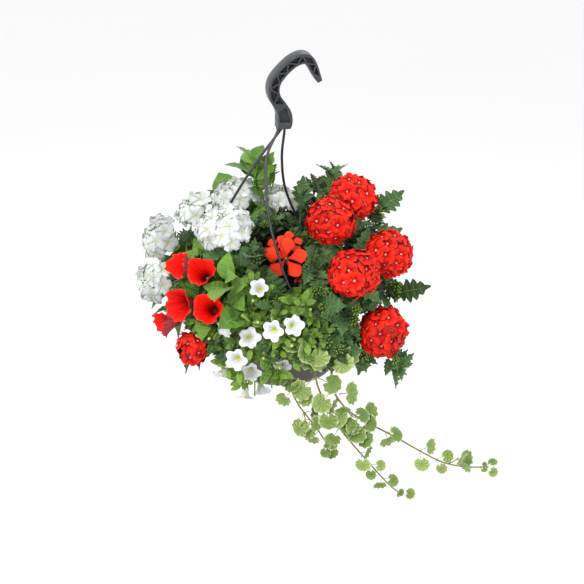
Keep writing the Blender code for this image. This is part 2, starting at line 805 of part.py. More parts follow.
def route_to(start, end, facing, rng, loose):
    """One try at a branch's route: a bow up and out, or a hop over the rim and down."""
    reach = (end - start).length
    out = Vector((end.x - start.x, end.y - start.y, 0.0))
    sway = Vector((rng.uniform(-1, 1), rng.uniform(-1, 1), 0)) * reach * 0.5 * loose
    if end.z > RIM.z + 0.022:
        first = start + Vector((0, 0, reach)) * rng.uniform(0.25, 0.45 + 0.5 * loose) + out * 0.15
        last = end - facing * reach * rng.uniform(0.22, 0.40)
        return bezier(start, first + sway, last, end, 6)
    bends = over_the_rim(end, rng, loose)
    lead = min(0.4 * (end - bends[-1]).length, 0.022)
    last = end - facing * lead * rng.uniform(0.7, 1.0 + loose)
    rise = start.lerp(bends[0], 0.5) + Vector((0, 0, 0.004))
    return smooth_path([start, rise, *bends, last, end], 8)


def hides(mesh):
    """Whether a leaf reaches into a space that is kept open, or into the soil."""
    tree = tree_of(mesh)
    return any(tree.overlap(view) for view in open_views)


def grow_branch(own, start, end, facing, rng):
    """A curved branch to a bloom's seat or a free tip, bent until it misses every other node."""
    for attempt in range(BRANCH_TRIES):
        points = route_to(start, end, facing, rng, 1.3 * attempt / BRANCH_TRIES)
        points[-1] = end
        radii = stem_radii(len(points), STEM_RADIUS * 0.85)
        mesh = tube(points, [r + 0.0007 for r in radii[:-1]] + [radii[-1]])
        clash = crosses(mesh, own)
        bpy.data.meshes.remove(mesh)
        if not clash:
            return points, radii
    return None


def side_ways(tangent, outward, turn):
    """Two opposite directions square to the stem, turned about it."""
    a = tangent.cross(outward)
    if a.length < 0.1:
        a = tangent.cross(Vector((1, 0, 0)))
    a.normalize()
    a = Matrix.Rotation(turn, 3, tangent) @ a
    return a, -a


LEAF_LIGHT = Vector((0.0, -0.25, 0.50))
IVY_LIGHT = Vector((0.0, -0.75, 0.45))
LEAVES = {
    "verbena": (VERBENA_LEAF, 0.050, 0.032, 0.25, 0.12),
    "petunia": (PETUNIA_LEAF, 0.050, 0.031, 0.22, 0.10),
    "calibrachoa": (CALIBRACHOA_LEAF, 0.024, 0.010, 0.15, 0.10),
    "ivy": (IVY_LEAF, 0.042, 0.034, 0.10, 0.10),
    "geranium": (GERANIUM_LEAF, 0.052, 0.046, 0.08, 0.05),
}


def leaf(own, kind, root, along, up, size, rng):
    """A leaf set on its stem, turned by up to a few tens of degrees until it misses other nodes."""
    outline, length, width, fold, droop = LEAVES[kind]
    for attempt in range(14):
        spread = math.radians(9 * (attempt + 1) // 2)
        turn = Matrix.Rotation(rng.uniform(-spread, spread), 3, up) @ along
        tilt = Matrix.Rotation(rng.uniform(-spread, spread), 3, turn) @ up
        scale = size * (1.0 - 0.02 * attempt)
        frame = blade_frame(root, turn, tilt)
        fat = blade(outline, length * scale * 1.03, width * scale * 1.05, fold, droop, 0.0022)
        fat.transform(frame)
        test = mesh_of(fat, "test")
        clash = crosses(test, own) or hides(test)
        bpy.data.meshes.remove(test)
        if clash:
            continue
        bm = blade(outline, length * scale, width * scale, fold, droop)
        bm.transform(frame)
        mesh = mesh_of(bm, "leaf")
        keep_clear_of("leaf of " + own, mesh)
        return bpy.data.objects.new("leaf", mesh)
    return None


def leaf_up(kind, outward, along):
    """Which way a leaf's upper side faces: out of the plant, and up and forward to the light."""
    lift = IVY_LIGHT if kind == "ivy" else LEAF_LIGHT
    up = (outward * (0.4 if kind == "ivy" else 0.75) + lift).normalized()
    return (up - along * up.dot(along)).normalized()


def leafy_branch(own, kind, points, row, rng):
    """Leaves in opposite pairs up a branch, each pair turned from the last, and one at a free tip."""
    pairs, first_share, first_size, last_size, at_tip = row
    found = []
    path = smooth_path(points, 41)
    for k in range(pairs):
        share = first_share + (0.96 - first_share) * (k + 0.5) / pairs
        at = min(int(share * 40), 38)
        root = path[at]
        tangent = (path[at + 2] - path[max(at - 2, 0)]).normalized()
        outward = (root - RIM).normalized()
        turn = math.pi / 2 * k + rng.uniform(-0.3, 0.3)
        size = first_size + (last_size - first_size) * (k + 0.5) / pairs
        for way in side_ways(tangent, outward, turn):
            base = root + way * LEAF_ROOT_OFFSET
            along = (way + tangent * 0.35 + outward * 0.35).normalized()
            up = leaf_up(kind, outward, along)
            found.append(leaf(own, kind, base, along, up, size * rng.uniform(0.88, 1.10), rng))
    if at_tip:
        tangent = (path[-1] - path[-4]).normalized()
        base = path[-1] - tangent * 0.0015
        up = leaf_up(kind, (path[-1] - RIM).normalized(), tangent)
        found.append(leaf(own, kind, base, tangent, up, last_size, rng))
    return [made for made in found if made is not None]


def main():
    clear_scene()
    plastic = material("dark_plastic", (0.055, 0.060, 0.066), 0.45)
    earth = material("potting_soil", (0.045, 0.030, 0.020), 0.95)
    red = material("red_petals", (0.85, 0.04, 0.02), 0.55)
    white = material("white_petals", (0.90, 0.90, 0.88), 0.55)
    dark_leaf = material("verbena_green", (0.06, 0.16, 0.05), 0.60)
    light_leaf = material("bright_green", (0.14, 0.30, 0.04), 0.50)
    ivy_leaf = material("variegated_green", (0.34, 0.45, 0.18), 0.55)
    rng = random.Random(SEED)
    pot(plastic)
    hook(plastic)
    for k, name in enumerate(STRAND_ROUTES):
        strand(name, k, plastic)
    seats = {}
    for k, row in enumerate(RED_VERBENA_HEADS):
        name = f"red_verbena_head_{k + 1}"
        seats[name] = verbena_head(name, row, 0.88, rng, red)[1:]
    for k, row in enumerate(WHITE_VERBENA_HEADS):
        name = f"white_verbena_head_{k + 1}"
        seats[name] = verbena_head(name, row, 0.62, rng, white)[1:]
    for k, row in enumerate(PETUNIAS):
        name = f"petunia_bloom_{k + 1}"
        seats[name] = trumpet(name, row, 0.030, 0.0040, 0.92, rng, red)[1:]
    for k, row in enumerate(CALIBRACHOAS):
        name = f"calibrachoa_bloom_{k + 1}"
        seats[name] = trumpet(name, row, 0.015, 0.0026, 0.90, rng, white)[1:]
    seats["geranium_bloom"] = geranium_bloom("geranium_bloom", GERANIUM, rng, red)[1:]
    greens = {"dark": dark_leaf, "light": light_leaf, "ivy": ivy_leaf}
    keep_open(RIM, (0, 0, 1), WALL_TOP_RADIUS, -0.060, -SOIL_DROP + SOIL_CROWN + 0.001)
    roots = plants(seats, greens, rng)
    soil(earth, roots)


# Each leafy stem: its name, leaf kind, green, root from the rim's middle, the blooms it carries and
# its free tips
STEMS = [
    ("red_verbena_stem_1", "verbena", "dark", (0.034, -0.008),
     ("red_verbena_head_1", "red_verbena_head_2"), [(0.056, 0.060, 0.082), (0.024, 0.036, 0.072)]),
    ("red_verbena_stem_2", "verbena", "dark", (0.052, -0.020), ("red_verbena_head_3",),
     [(0.116, 0.018, 0.074), (0.136, -0.034, -0.010)]),
    ("red_verbena_stem_3", "verbena", "dark", (0.040, -0.044), ("red_verbena_head_4",),
     [(0.050, -0.128, 0.016), (0.034, -0.094, 0.056), (0.052, -0.130, -0.026)]),
    ("red_verbena_stem_4", "verbena", "dark", (0.062, -0.040), ("red_verbena_head_5",),
     [(0.070, -0.128, -0.050), (0.086, -0.122, 0.010), (0.104, -0.100, -0.062)]),
    ("red_verbena_stem_5", "verbena", "dark", (-0.046, -0.052), ("red_verbena_head_6",),
     [(-0.104, -0.064, -0.066), (-0.070, -0.116, -0.038)]),
    ("red_verbena_stem_6", "verbena", "dark", (0.048, 0.042), ("red_verbena_head_7",),
     [(0.118, 0.060, 0.014), (0.104, 0.072, -0.050)]),
    ("white_verbena_stem_1", "verbena", "dark", (-0.026, -0.026), ("white_verbena_head_1",),
     [(-0.030, -0.100, 0.064), (-0.004, -0.126, 0.022)]),
    ("white_verbena_stem_2", "verbena", "dark", (-0.022, 0.022),
     ("white_verbena_head_2", "white_verbena_head_6"), []),
    ("white_verbena_stem_3", "verbena", "dark", (-0.052, 0.000),
     ("white_verbena_head_3", "white_verbena_head_4", "white_verbena_head_5"), []),
    ("white_verbena_stem_4", "verbena", "dark", (-0.012, 0.050), ("white_verbena_head_7",),
     [(-0.070, 0.108, -0.034), (0.034, 0.118, 0.020)]),
    ("petunia_stem_1", "petunia", "light", (-0.060, -0.034), ("petunia_bloom_1", "petunia_bloom_2"),
     [(-0.062, -0.114, 0.034), (-0.046, -0.122, 0.004)]),
    ("petunia_stem_2", "petunia", "light", (-0.070, -0.010),
     ("petunia_bloom_3", "petunia_bloom_4", "petunia_bloom_5"), []),
    ("petunia_stem_3", "petunia", "light", (-0.044, 0.044), ("petunia_bloom_6",),
     [(-0.032, 0.070, 0.088), (-0.064, 0.088, 0.064), (-0.128, 0.040, -0.024)]),
    ("calibrachoa_stem_1", "calibrachoa", "light", (-0.030, -0.064),
     ("calibrachoa_bloom_2", "calibrachoa_bloom_6", "calibrachoa_bloom_7", "calibrachoa_bloom_10"), []),
    ("calibrachoa_stem_2", "calibrachoa", "light", (-0.002, -0.060),
     ("calibrachoa_bloom_3", "calibrachoa_bloom_4", "calibrachoa_bloom_11"),
     [(0.030, -0.142, -0.030), (0.020, -0.132, 0.022)]),
    ("calibrachoa_stem_3", "calibrachoa", "light", (-0.015, -0.072),
     ("calibrachoa_bloom_1", "calibrachoa_bloom_5", "calibrachoa_bloom_8", "calibrachoa_bloom_9"), []),
    ("calibrachoa_stem_4", "calibrachoa", "light", (0.018, 0.070), ("calibrachoa_bloom_12",),
     [(0.056, 0.118, -0.034), (-0.010, 0.124, -0.050)]),
    ("geranium_stem", "geranium", "dark", (0.006, -0.012), ("geranium_bloom",),
     [(0.034, -0.040, 0.062), (-0.030, -0.070, 0.048)]),
]

# How a kind's leaves sit: pairs to a bloom and to a free tip, where they start on the branch, and
# their sizes at the start and at the end
LEAF_ROWS = {
    "verbena": (2, 2, 0.35, 1.15, 0.95),
    "petunia": (1, 2, 0.45, 1.00, 1.00),
    "calibrachoa": (1, 3, 0.45, 1.20, 1.00),
    "geranium": (0, 0, 0.50, 1.00, 0.80),
    "ivy": (0, 7, 0.14, 1.00, 0.50),
}
FACES_KEPT = {"verbena": 0.60, "petunia": 0.66, "calibrachoa": 0.60, "geranium": 0.70, "ivy": 0.74}

# The trailing runners' routes from the middle of the rim, over the rim and down
IVY_STEMS = {
    "ivy_stem_1": [
        [(0.040, -0.060, 0.000), (0.052, -0.088, 0.016), (0.062, -0.112, 0.002),
         (0.060, -0.122, -0.050), (0.062, -0.124, -0.094), (0.085, -0.126, -0.125),
         (0.133, -0.132, -0.151), (0.172, -0.137, -0.173), (0.206, -0.141, -0.187),
         (0.248, -0.147, -0.186)],
    ],
    "ivy_stem_2": [
        [(0.024, -0.068, 0.000), (0.034, -0.098, 0.016), (0.040, -0.120, 0.000),
         (0.038, -0.128, -0.050), (0.046, -0.124, -0.096), (0.074, -0.124, -0.152),
         (0.097, -0.127, -0.178), (0.124, -0.131, -0.212), (0.148, -0.135, -0.232)],
    ],
    "ivy_stem_3": [
        [(0.008, -0.073, 0.000), (0.012, -0.098, 0.014), (0.014, -0.1165, 0.000),
         (0.012, -0.112, -0.045), (0.010, -0.112, -0.090), (0.024, -0.116, -0.124),
         (0.042, -0.116, -0.148), (0.056, -0.118, -0.173)],
    ],
}


def grow_runner(own, route, rng):
    """A runner along its route, with its bends moved a little until it misses every other node."""
    for attempt in range(80):
        shift = 0.010 * attempt / 80
        bends = [
            RIM + Vector(point) + Vector([rng.uniform(-shift, shift) for _ in range(3)])
            for point in route
        ]
        bends[0] = RIM + Vector(route[0]) - Vector((0, 0, 0.002))
        points = smooth_path(bends, 3 * len(route) // 2)
        radii = stem_radii(len(points), STEM_RADIUS * 0.8)
        mesh = tube(points, [r + 0.0006 for r in radii])
        clash = crosses(mesh, own)
        bpy.data.meshes.remove(mesh)
        if not clash:
            return points, radii
    print("runner of", own, "could not be bent clear")
    return points, radii


def plants(seats, greens, rng):
    """Grows every stem to its blooms and tips, then leaves on all of them, and returns the roots."""
    grown = []
    roots = []
    for name, routes in IVY_STEMS.items():
        first = Vector(routes[0][0])
        ground = RIM + Vector((first.x, first.y, -SOIL_DROP - HOLE_DEPTH))
        roots.append(ground)
        trunk = tube([ground, RIM + first], [STEM_RADIUS, STEM_RADIUS])
        keep_clear_of(name, trunk)
        branches = []
        for route in routes:
            points, radii = grow_runner(name, route, rng)
            mesh = tube(points, radii)
            keep_clear_of(name, mesh)
            branches.append((points, mesh, True))
        grown.append((name, "ivy", "ivy", trunk, branches))
    for name, kind, green, root, blooms, tips in STEMS:
        ground = RIM + Vector((root[0], root[1], -SOIL_DROP - HOLE_DEPTH))
        roots.append(ground)
        fork = RIM + Vector((root[0], root[1], 0.004))
        trunk = tube([ground, fork], [STEM_RADIUS, STEM_RADIUS])
        keep_clear_of(name, trunk)
        branches = []
        ends = [(*seats[bloom], False) for bloom in blooms]
        for tip in tips:
            ends.append((RIM + Vector(tip), (Vector(tip) + Vector((0, 0, 0.05))).normalized(), True))
        for end, facing, free in ends:
            start = fork - Vector((0, 0, 0.002))
            route = grow_branch(name, start, end, facing, rng)
            if route is None:
                print("no clear way for a branch of", name, "to", tuple(end - RIM))
                continue
            points, radii = route
            mesh = tube(points, radii)
            keep_clear_of(name, mesh)
            branches.append((points, mesh, free))
        grown.append((name, kind, green, trunk, branches))
    for name, kind, green, trunk, branches in grown:
        leaves = []
        at_bloom, at_free, start, first_size, last_size = LEAF_ROWS[kind]
        for points, _, free in branches:
            row = (at_free if free else at_bloom, start, first_size, last_size, free)
            leaves += leafy_branch(name, kind, points, row, rng)
        obj = object_of(name, trunk, parts, greens[green])
        extra = [bpy.data.objects.new("branch", mesh) for _, mesh, _ in branches]
        boolean(obj, extra + leaves, "UNION", UNION_SOLVER)
        thin_out(obj, FACES_KEPT[kind])
    return roots


main()
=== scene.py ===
"""Looks of the flowering hanging basket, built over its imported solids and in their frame, in metres.

The sections follow the basket as it is put together: pot, soil, hanger, leafy stems, then the blooms of
each plant, and the room last. Plants are placed from the middle of the pot's rim, as in the part.
"""

import heapq
import json
import math
import random

import bmesh
import bpy
from mathutils import Matrix, Vector

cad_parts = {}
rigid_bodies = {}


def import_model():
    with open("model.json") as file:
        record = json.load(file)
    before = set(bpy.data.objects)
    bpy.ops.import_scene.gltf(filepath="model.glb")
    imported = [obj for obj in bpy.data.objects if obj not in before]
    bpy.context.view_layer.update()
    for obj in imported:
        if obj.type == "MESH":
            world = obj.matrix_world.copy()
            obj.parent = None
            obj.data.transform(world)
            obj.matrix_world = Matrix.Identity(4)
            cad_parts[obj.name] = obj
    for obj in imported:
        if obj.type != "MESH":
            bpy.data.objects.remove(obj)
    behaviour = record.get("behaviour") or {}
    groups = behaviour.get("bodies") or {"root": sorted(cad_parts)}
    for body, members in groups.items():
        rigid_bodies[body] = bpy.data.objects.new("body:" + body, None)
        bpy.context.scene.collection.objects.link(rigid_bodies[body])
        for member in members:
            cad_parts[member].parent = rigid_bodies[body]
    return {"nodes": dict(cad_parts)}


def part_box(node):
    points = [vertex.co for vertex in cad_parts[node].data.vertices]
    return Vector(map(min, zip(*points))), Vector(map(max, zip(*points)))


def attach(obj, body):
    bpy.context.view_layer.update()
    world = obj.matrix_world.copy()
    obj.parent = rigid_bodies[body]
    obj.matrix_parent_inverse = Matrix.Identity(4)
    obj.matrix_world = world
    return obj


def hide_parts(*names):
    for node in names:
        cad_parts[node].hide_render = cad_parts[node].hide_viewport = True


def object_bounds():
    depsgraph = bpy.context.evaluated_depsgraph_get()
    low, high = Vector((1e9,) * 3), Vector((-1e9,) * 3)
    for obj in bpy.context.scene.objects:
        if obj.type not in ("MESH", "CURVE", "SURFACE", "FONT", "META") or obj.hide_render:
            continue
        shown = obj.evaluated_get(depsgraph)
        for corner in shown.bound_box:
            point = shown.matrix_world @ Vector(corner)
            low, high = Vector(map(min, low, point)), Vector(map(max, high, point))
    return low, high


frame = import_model()
cad_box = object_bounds()


# Pot
# A thin moulded nursery pot in dark grey-brown plastic, with a tapered wall, a flat flange that the
# strands go through and a short skirt round it. It is drawn off its mould, so every corner is rounded.

RIM = Vector((-0.024, 0.0, -0.270))
RIM_RADIUS = 0.105
RIM_THICKNESS = 0.003
SKIRT_HEIGHT = 0.010
SKIRT_THICKNESS = 0.002
WALL_TOP_RADIUS = 0.0925
BASE_RADIUS = 0.0655
POT_HEIGHT = 0.120
WALL = 0.0025
POT_STEPS = 96
DRAINS = 4
DRAIN_RADIUS = 0.004
DRAIN_CIRCLE = 0.040
STRAND_HOLE_RADIUS = 0.0026
STRAND_CIRCLE = 0.0975
FRONT_STRAND_TURN = 12.0
# The base stands on a narrow foot, and its middle is sunk by a little
FOOT_WIDTH = 0.010
FOOT_FLARE = 0.0006
BASE_SUNK = 0.0008
CORNER_ROUND = 0.0007
# How far the cutters reach past what they cut, and how round they are
CUT_PAST = 0.003
CUTTER_SIDES = 24


class Wire:
    """A socket in a node tree, which Python's operators join to other sockets and to numbers."""

    def __init__(self, plan, socket):
        self.plan = plan
        self.socket = socket

    def maths(self, operation, *values):
        return self.plan.add("ShaderNodeMath", {"operation": operation}, dict(enumerate(values)))

    def __add__(self, other):
        return self.maths("ADD", self, other)

    def __radd__(self, other):
        return self.maths("ADD", other, self)

    def __sub__(self, other):
        return self.maths("SUBTRACT", self, other)

    def __rsub__(self, other):
        return self.maths("SUBTRACT", other, self)

    def __mul__(self, other):
        return self.maths("MULTIPLY", self, other)

    def __rmul__(self, other):
        return self.maths("MULTIPLY", other, self)

    def __truediv__(self, other):
        return self.maths("DIVIDE", self, other)

    def __abs__(self):
        return self.maths("ABSOLUTE", self)

    def rise(self, low, high):
        """0 where the value is at low, 1 where it is at high, and smooth between them."""
        return self.plan.add(
            "ShaderNodeMapRange",
            {"interpolation_type": "SMOOTHSTEP"},
            {"Value": self, "From Min": low, "From Max": high},
        )

    def fraction(self):
        return self.maths("FRACT", self)


class Plan:
    """A node tree that is being wired up."""

    def __init__(self, tree):
        self.tree = tree

    def add(self, kind, settings=None, sockets=None, out=0):
        """A node of any type, with its settings made first and then its sockets fed."""
        node = self.tree.nodes.new(kind)
        for name, value in (settings or {}).items():
            if name == "stops":
                self.set_stops(node.color_ramp, value)
            else:
                setattr(node, name, value)
        self.feed(node, sockets or {})
        return Wire(self, node.outputs[out])

    def feed(self, node, sockets):
        for name, value in sockets.items():
            socket = node.inputs[name]
            if isinstance(value, Wire):
                self.tree.links.new(value.socket, socket)
            elif socket.type == "RGBA" and len(value) == 3:
                socket.default_value = (*value, 1.0)
            else:
                socket.default_value = value

    def set_stops(self, ramp, stops):
        while len(ramp.elements) < len(stops):
            ramp.elements.new(0.5)
        for element, (place, colour) in zip(ramp.elements, stops):
            element.position = place
            element.color = (*colour, 1.0)

    def mix(self, share, one, other, blend="MIX"):
        settings = {"data_type": "RGBA", "blend_type": blend}
        return self.add("ShaderNodeMix", settings, {0: share, 6: one, 7: other}, 2)

    def noise(self, where, scale, detail=2.0):
        sockets = {"Vector": where, "Scale": scale, "Detail": detail}
        return self.add("ShaderNodeTexNoise", None, sockets)

    def place(self):
        """Where a point is on its piece, in the object's own frame."""
        return self.add("ShaderNodeTexCoord", None, None, 3)

    def bump(self, height, distance):
        sockets = {"Height": height, "Distance": distance, "Strength": 1.0}
        return self.add("ShaderNodeBump", None, sockets)

    def marks(self):
        """The two marks of a point on a leaf or petal, from the piece's own UV map."""
        marks = self.add("ShaderNodeUVMap", {"uv_map": "marks"})
        return [self.add("ShaderNodeSeparateXYZ", None, {0: marks}, axis) for axis in range(2)]

    def shade(self):
        """The value of its own, from 0 to 1, that each leaf, petal or crumb carries."""
        return self.add("ShaderNodeAttribute", {"attribute_name": "shade"}, None, 2)


def new_surface(name, fixed):
    """A material with one Principled shader, its fixed sockets set: (material, plan, shader)."""
    made = bpy.data.materials.new(name)
    made.use_nodes = True
    plan = Plan(made.node_tree)
    shader = made.node_tree.nodes["Principled BSDF"]
    plan.feed(shader, fixed)
    return made, plan, shader


def plastic_surface(name, colour, dusty, roughness):
    """Satin moulded plastic with a fine grain, a few flow marks and a little dust in patches."""
    made, plan, shader = new_surface(name, {"IOR": 1.46})
    where = plan.place()
    grain = plan.noise(where, 2600.0, 3.0)
    flow = plan.noise(where, 55.0, 4.0)
    dust = plan.noise(where, 160.0, 5.0).rise(0.50, 0.74)
    tone = plan.mix(flow.rise(0.35, 0.70), colour, [c * 1.35 for c in colour])
    plan.feed(shader, {"Base Color": plan.mix(dust * 0.35, tone, dusty)})
    plan.feed(shader, {"Roughness": roughness + 0.10 * flow + 0.16 * dust})
    plan.feed(shader, {"Normal": plan.bump(grain + flow * 0.8, 0.00006)})
    return made


def mark_sharp(bm, degrees):
    """Shades the faces smooth, except over edges that turn by more than the angle."""
    bmesh.ops.recalc_face_normals(bm, faces=bm.faces)
    for face in bm.faces:
        face.smooth = True
    for edge in bm.edges:
        edge.smooth = edge.calc_face_angle(0.0) < math.radians(degrees)


def sharpened(mesh, degrees, turn=None):
    """The mesh with its hard edges marked, turned by a matrix where one is given."""
    bm = bmesh.new()
    bm.from_mesh(mesh)
    mark_sharp(bm, degrees)
    if turn:
        bm.transform(turn)
    bm.to_mesh(mesh)
    bm.free()
    return mesh


def shells_of(bm):
    """The faces of each closed shell in turn."""
    seen = set()
    for start in bm.faces:
        if start in seen:
            continue
        seen.add(start)
        shell = [start]
        for face in shell:
            for edge in face.edges:
                found = [other for other in edge.link_faces if other not in seen]
                seen.update(found)
                shell += found
        yield shell


def face_out(bm):
    """Turns every shell's faces out, by the sign of the room that they enclose."""
    bmesh.ops.recalc_face_normals(bm, faces=bm.faces)
    for shell in list(shells_of(bm)):
        start = shell[0].verts[0].co
        room = 0.0
        for face in shell:
            first, *others = [vert.co - start for vert in face.verts]
            for one, other in zip(others, others[1:]):
                room += first.dot(one.cross(other))
        if room < 0:
            bmesh.ops.reverse_faces(bm, faces=shell)


def mesh_of(bm, name):
    """The bmesh of closed shells as a mesh, with its faces pointing out."""
    face_out(bm)
    mesh = bpy.data.meshes.new(name)
    bm.to_mesh(mesh)
    bm.free()
    return mesh


def evaluated_mesh(obj):
    bpy.context.view_layer.update()
    graph = bpy.context.evaluated_depsgraph_get()
    return bpy.data.meshes.new_from_object(obj.evaluated_get(graph))


def linked(name, data):
    obj = bpy.data.objects.new(name, data)
    bpy.context.scene.collection.objects.link(obj)
    return obj


def collection_of(name, objects):
    group = bpy.data.collections.new(name)
    for obj in objects:
        group.objects.link(obj)
    return group


def piece(name, mesh, surfaces, slot, *nodes):
    """A finished piece on the one body, which stands for the CAD nodes named."""
    obj = linked(name, mesh)
    for surface in surfaces:
        mesh.materials.append(surface)
    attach(obj, "root")
    if nodes:
        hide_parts(*nodes)
    return obj


def rounded(corners, radius, steps=3):
    """The line through the corners, with each inner corner turned in a short curve."""
    found = [corners[0]]
    for before, corner, after in zip(corners, corners[1:], corners[2:]):
        start = corner + (before - corner) * min(0.45, radius / (before - corner).length)
        end = corner + (after - corner) * min(0.45, radius / (after - corner).length)
        for i in range(steps + 1):
            t = i / steps
            found.append(start.lerp(corner, t).lerp(corner.lerp(end, t), t))
    found.append(corners[-1])
    return found


def lathe(name, profile, steps):
    """A closed solid turned round the pot's axis from (radius, height) points that end on it."""
    bm = bmesh.new()
    rings = []
    for point in profile:
        count = 1 if point.x < 1e-6 else steps
        ring = []
        for i in range(count):
            angle = math.tau * i / count
            place = (point.x * math.cos(angle), point.x * math.sin(angle), point.y)
            ring.append(bm.verts.new(RIM + Vector(place)))
        rings.append(ring)
    for low, high in zip(rings, rings[1:]):
        for i in range(steps):
            j = (i + 1) % steps
            corners = [low[i % len(low)], low[j % len(low)], high[j % len(high)], high[i % len(high)]]
            bm.faces.new(list(dict.fromkeys(corners)))
    return mesh_of(bm, name)


def changed(mesh, kind, settings):
    """What a modifier makes of the mesh."""
    obj = linked("unchanged", mesh)
    modifier = obj.modifiers.new("change", kind)
    for name, value in settings.items():
        setattr(modifier, name, value)
    made = evaluated_mesh(obj)
    bpy.data.objects.remove(obj, do_unlink=True)
    return made


def cut_away(mesh, cutters):
    """The mesh with the cutters taken out of it; the cutters are then removed."""
    group = collection_of("cutters", cutters)
    bpy.context.scene.collection.children.link(group)
    settings = {"operation": "DIFFERENCE", "operand_type": "COLLECTION", "collection": group}
    settings["solver"] = "EXACT"
    made = changed(mesh, "BOOLEAN", settings)
    for cutter in cutters:
        bpy.data.objects.remove(cutter, do_unlink=True)
    bpy.data.collections.remove(group)
    return made


def rod(radius, low, high, x, y):
    """An upright round cutter between two heights."""
    bm = bmesh.new()
    shape = {"segments": CUTTER_SIDES, "radius1": radius, "radius2": radius, "depth": high - low}
    bmesh.ops.create_cone(bm, cap_ends=True, **shape)
    bm.transform(Matrix.Translation((x, y, (low + high) / 2)))
    return bpy.data.objects.new("rod", mesh_of(bm, "rod"))


def strand_seat(k):
    """Where strand k goes through the rim: the front one first, then round to the right and left."""
    angle = math.radians(FRONT_STRAND_TURN + 120.0 * k)
    return RIM.x + STRAND_CIRCLE * math.sin(angle), RIM.y - STRAND_CIRCLE * math.cos(angle)


def pot_profile():
    """Half of the pot's section as (radius, height), from its inner floor over the rim to its base."""
    points = [
        (0.0, -POT_HEIGHT + WALL),
        (BASE_RADIUS - WALL, -POT_HEIGHT + WALL),
        (WALL_TOP_RADIUS - WALL, 0.0),
        (RIM_RADIUS, 0.0),
        (RIM_RADIUS, -SKIRT_HEIGHT),
        (RIM_RADIUS - SKIRT_THICKNESS, -SKIRT_HEIGHT),
        (RIM_RADIUS - SKIRT_THICKNESS, -RIM_THICKNESS),
        (WALL_TOP_RADIUS, -RIM_THICKNESS),
        (BASE_RADIUS + FOOT_FLARE, -POT_HEIGHT + 2 * WALL),
        (BASE_RADIUS - WALL, -POT_HEIGHT),
        (BASE_RADIUS - WALL - FOOT_WIDTH, -POT_HEIGHT),
        (BASE_RADIUS - 2 * WALL - FOOT_WIDTH, -POT_HEIGHT + BASE_SUNK),
        (0.0, -POT_HEIGHT + BASE_SUNK),
    ]
    return rounded([Vector(point) for point in points], CORNER_ROUND)


def pot_holes():
    """Cutters for the strands' holes in the rim and the drain holes in the base."""
    base = RIM.z - POT_HEIGHT
    holes = []
    for k in range(3):
        low, high = RIM.z - RIM_THICKNESS - CUT_PAST, RIM.z + CUT_PAST
        holes.append(rod(STRAND_HOLE_RADIUS, low, high, *strand_seat(k)))
    for k in range(DRAINS):
        angle = math.tau * (k + 0.5) / DRAINS
        x, y = RIM.x + DRAIN_CIRCLE * math.cos(angle), RIM.y + DRAIN_CIRCLE * math.sin(angle)
        holes.append(rod(DRAIN_RADIUS, base - CUT_PAST, base + 2 * WALL, x, y))
    return holes


plastic = plastic_surface("dark_plastic", (0.027, 0.030, 0.036), (0.090, 0.090, 0.090), 0.34)
pot_plastic = plastic_surface("pot_plastic", (0.052, 0.047, 0.044), (0.150, 0.135, 0.120), 0.42)
mesh = sharpened(cut_away(lathe("pot_shell", pot_profile(), POT_STEPS), pot_holes()), 35.0)
piece("pot_shell", mesh, [pot_plastic], "dark_plastic", "pot")


# Potting soil
# Damp peat and bark, pressed in to just under the rim and heaped a little in the middle. Crumbs of peat
# and white grains of perlite lie on it.

SOIL_DROP = 0.013
SOIL_CROWN = 0.006
SOIL_RINGS = 16
SOIL_STEPS = 64
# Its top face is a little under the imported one, and each of its points is moved up or down by chance
SOIL_SINK = 0.0006
SOIL_ROUGHNESS = (-0.0011, 0.0007)
# Kept free between pieces that lie against each other
PIECE_GAP = 0.0003
CRUMBS = 420
CRUMB_SIZE = 0.0022


def soil_radius(height):
    share = (height + POT_HEIGHT - WALL) / (POT_HEIGHT - WALL)
    low, high = BASE_RADIUS - WALL, WALL_TOP_RADIUS - WALL
    return low + (high - low) * share - PIECE_GAP


def soil_mesh():
    """The filled shape, with its top face broken into small rises and hollows."""
    floor = -POT_HEIGHT + WALL + PIECE_GAP
    profile = [Vector((0.0, floor)), Vector((soil_radius(floor), floor))]
    edge = soil_radius(-SOIL_DROP)
    profile.append(Vector((edge, -SOIL_DROP)))
    for i in range(SOIL_RINGS - 1, -1, -1):
        share = i / SOIL_RINGS
        rise = SOIL_CROWN * (1 - share**2) - SOIL_SINK
        profile.append(Vector((edge * share, -SOIL_DROP + rise)))
    mesh = lathe("soil_fill", profile, SOIL_STEPS)
    rng = random.Random(3)
    for vert in mesh.vertices:
        if vert.co.z - RIM.z > -SOIL_DROP + PIECE_GAP:
            vert.co.z += rng.uniform(*SOIL_ROUGHNESS)
    return mesh


def soil_surface():
    made, plan, shader = new_surface("potting_soil", {"Roughness": 0.94, "IOR": 1.35})
    where = plan.place()
    coarse = plan.noise(where, 260.0, 6.0)
    fine = plan.noise(where, 1500.0, 3.0)
    tone = plan.mix(coarse.rise(0.38, 0.66), (0.012, 0.008, 0.006), (0.060, 0.036, 0.021))
    plan.feed(shader, {"Base Color": tone})
    plan.feed(shader, {"Normal": plan.bump(coarse + fine * 0.4, 0.0012)})
    return made


def crumb_surface():
    """Peat crumbs, some of them white perlite, picked by the value that each one carries."""
    made, plan, shader = new_surface("soil_crumbs", {"Roughness": 0.92})
    shade = plan.shade()
    peat = plan.mix(shade, (0.020, 0.012, 0.008), (0.095, 0.055, 0.030))
    plan.feed(shader, {"Base Color": plan.mix(shade.rise(0.90, 0.92), peat, (0.62, 0.61, 0.56))})
    grain = plan.noise(plan.place(), 1800.0, 4.0)
    plan.feed(shader, {"Normal": plan.bump(grain, 0.0006)})
    return made


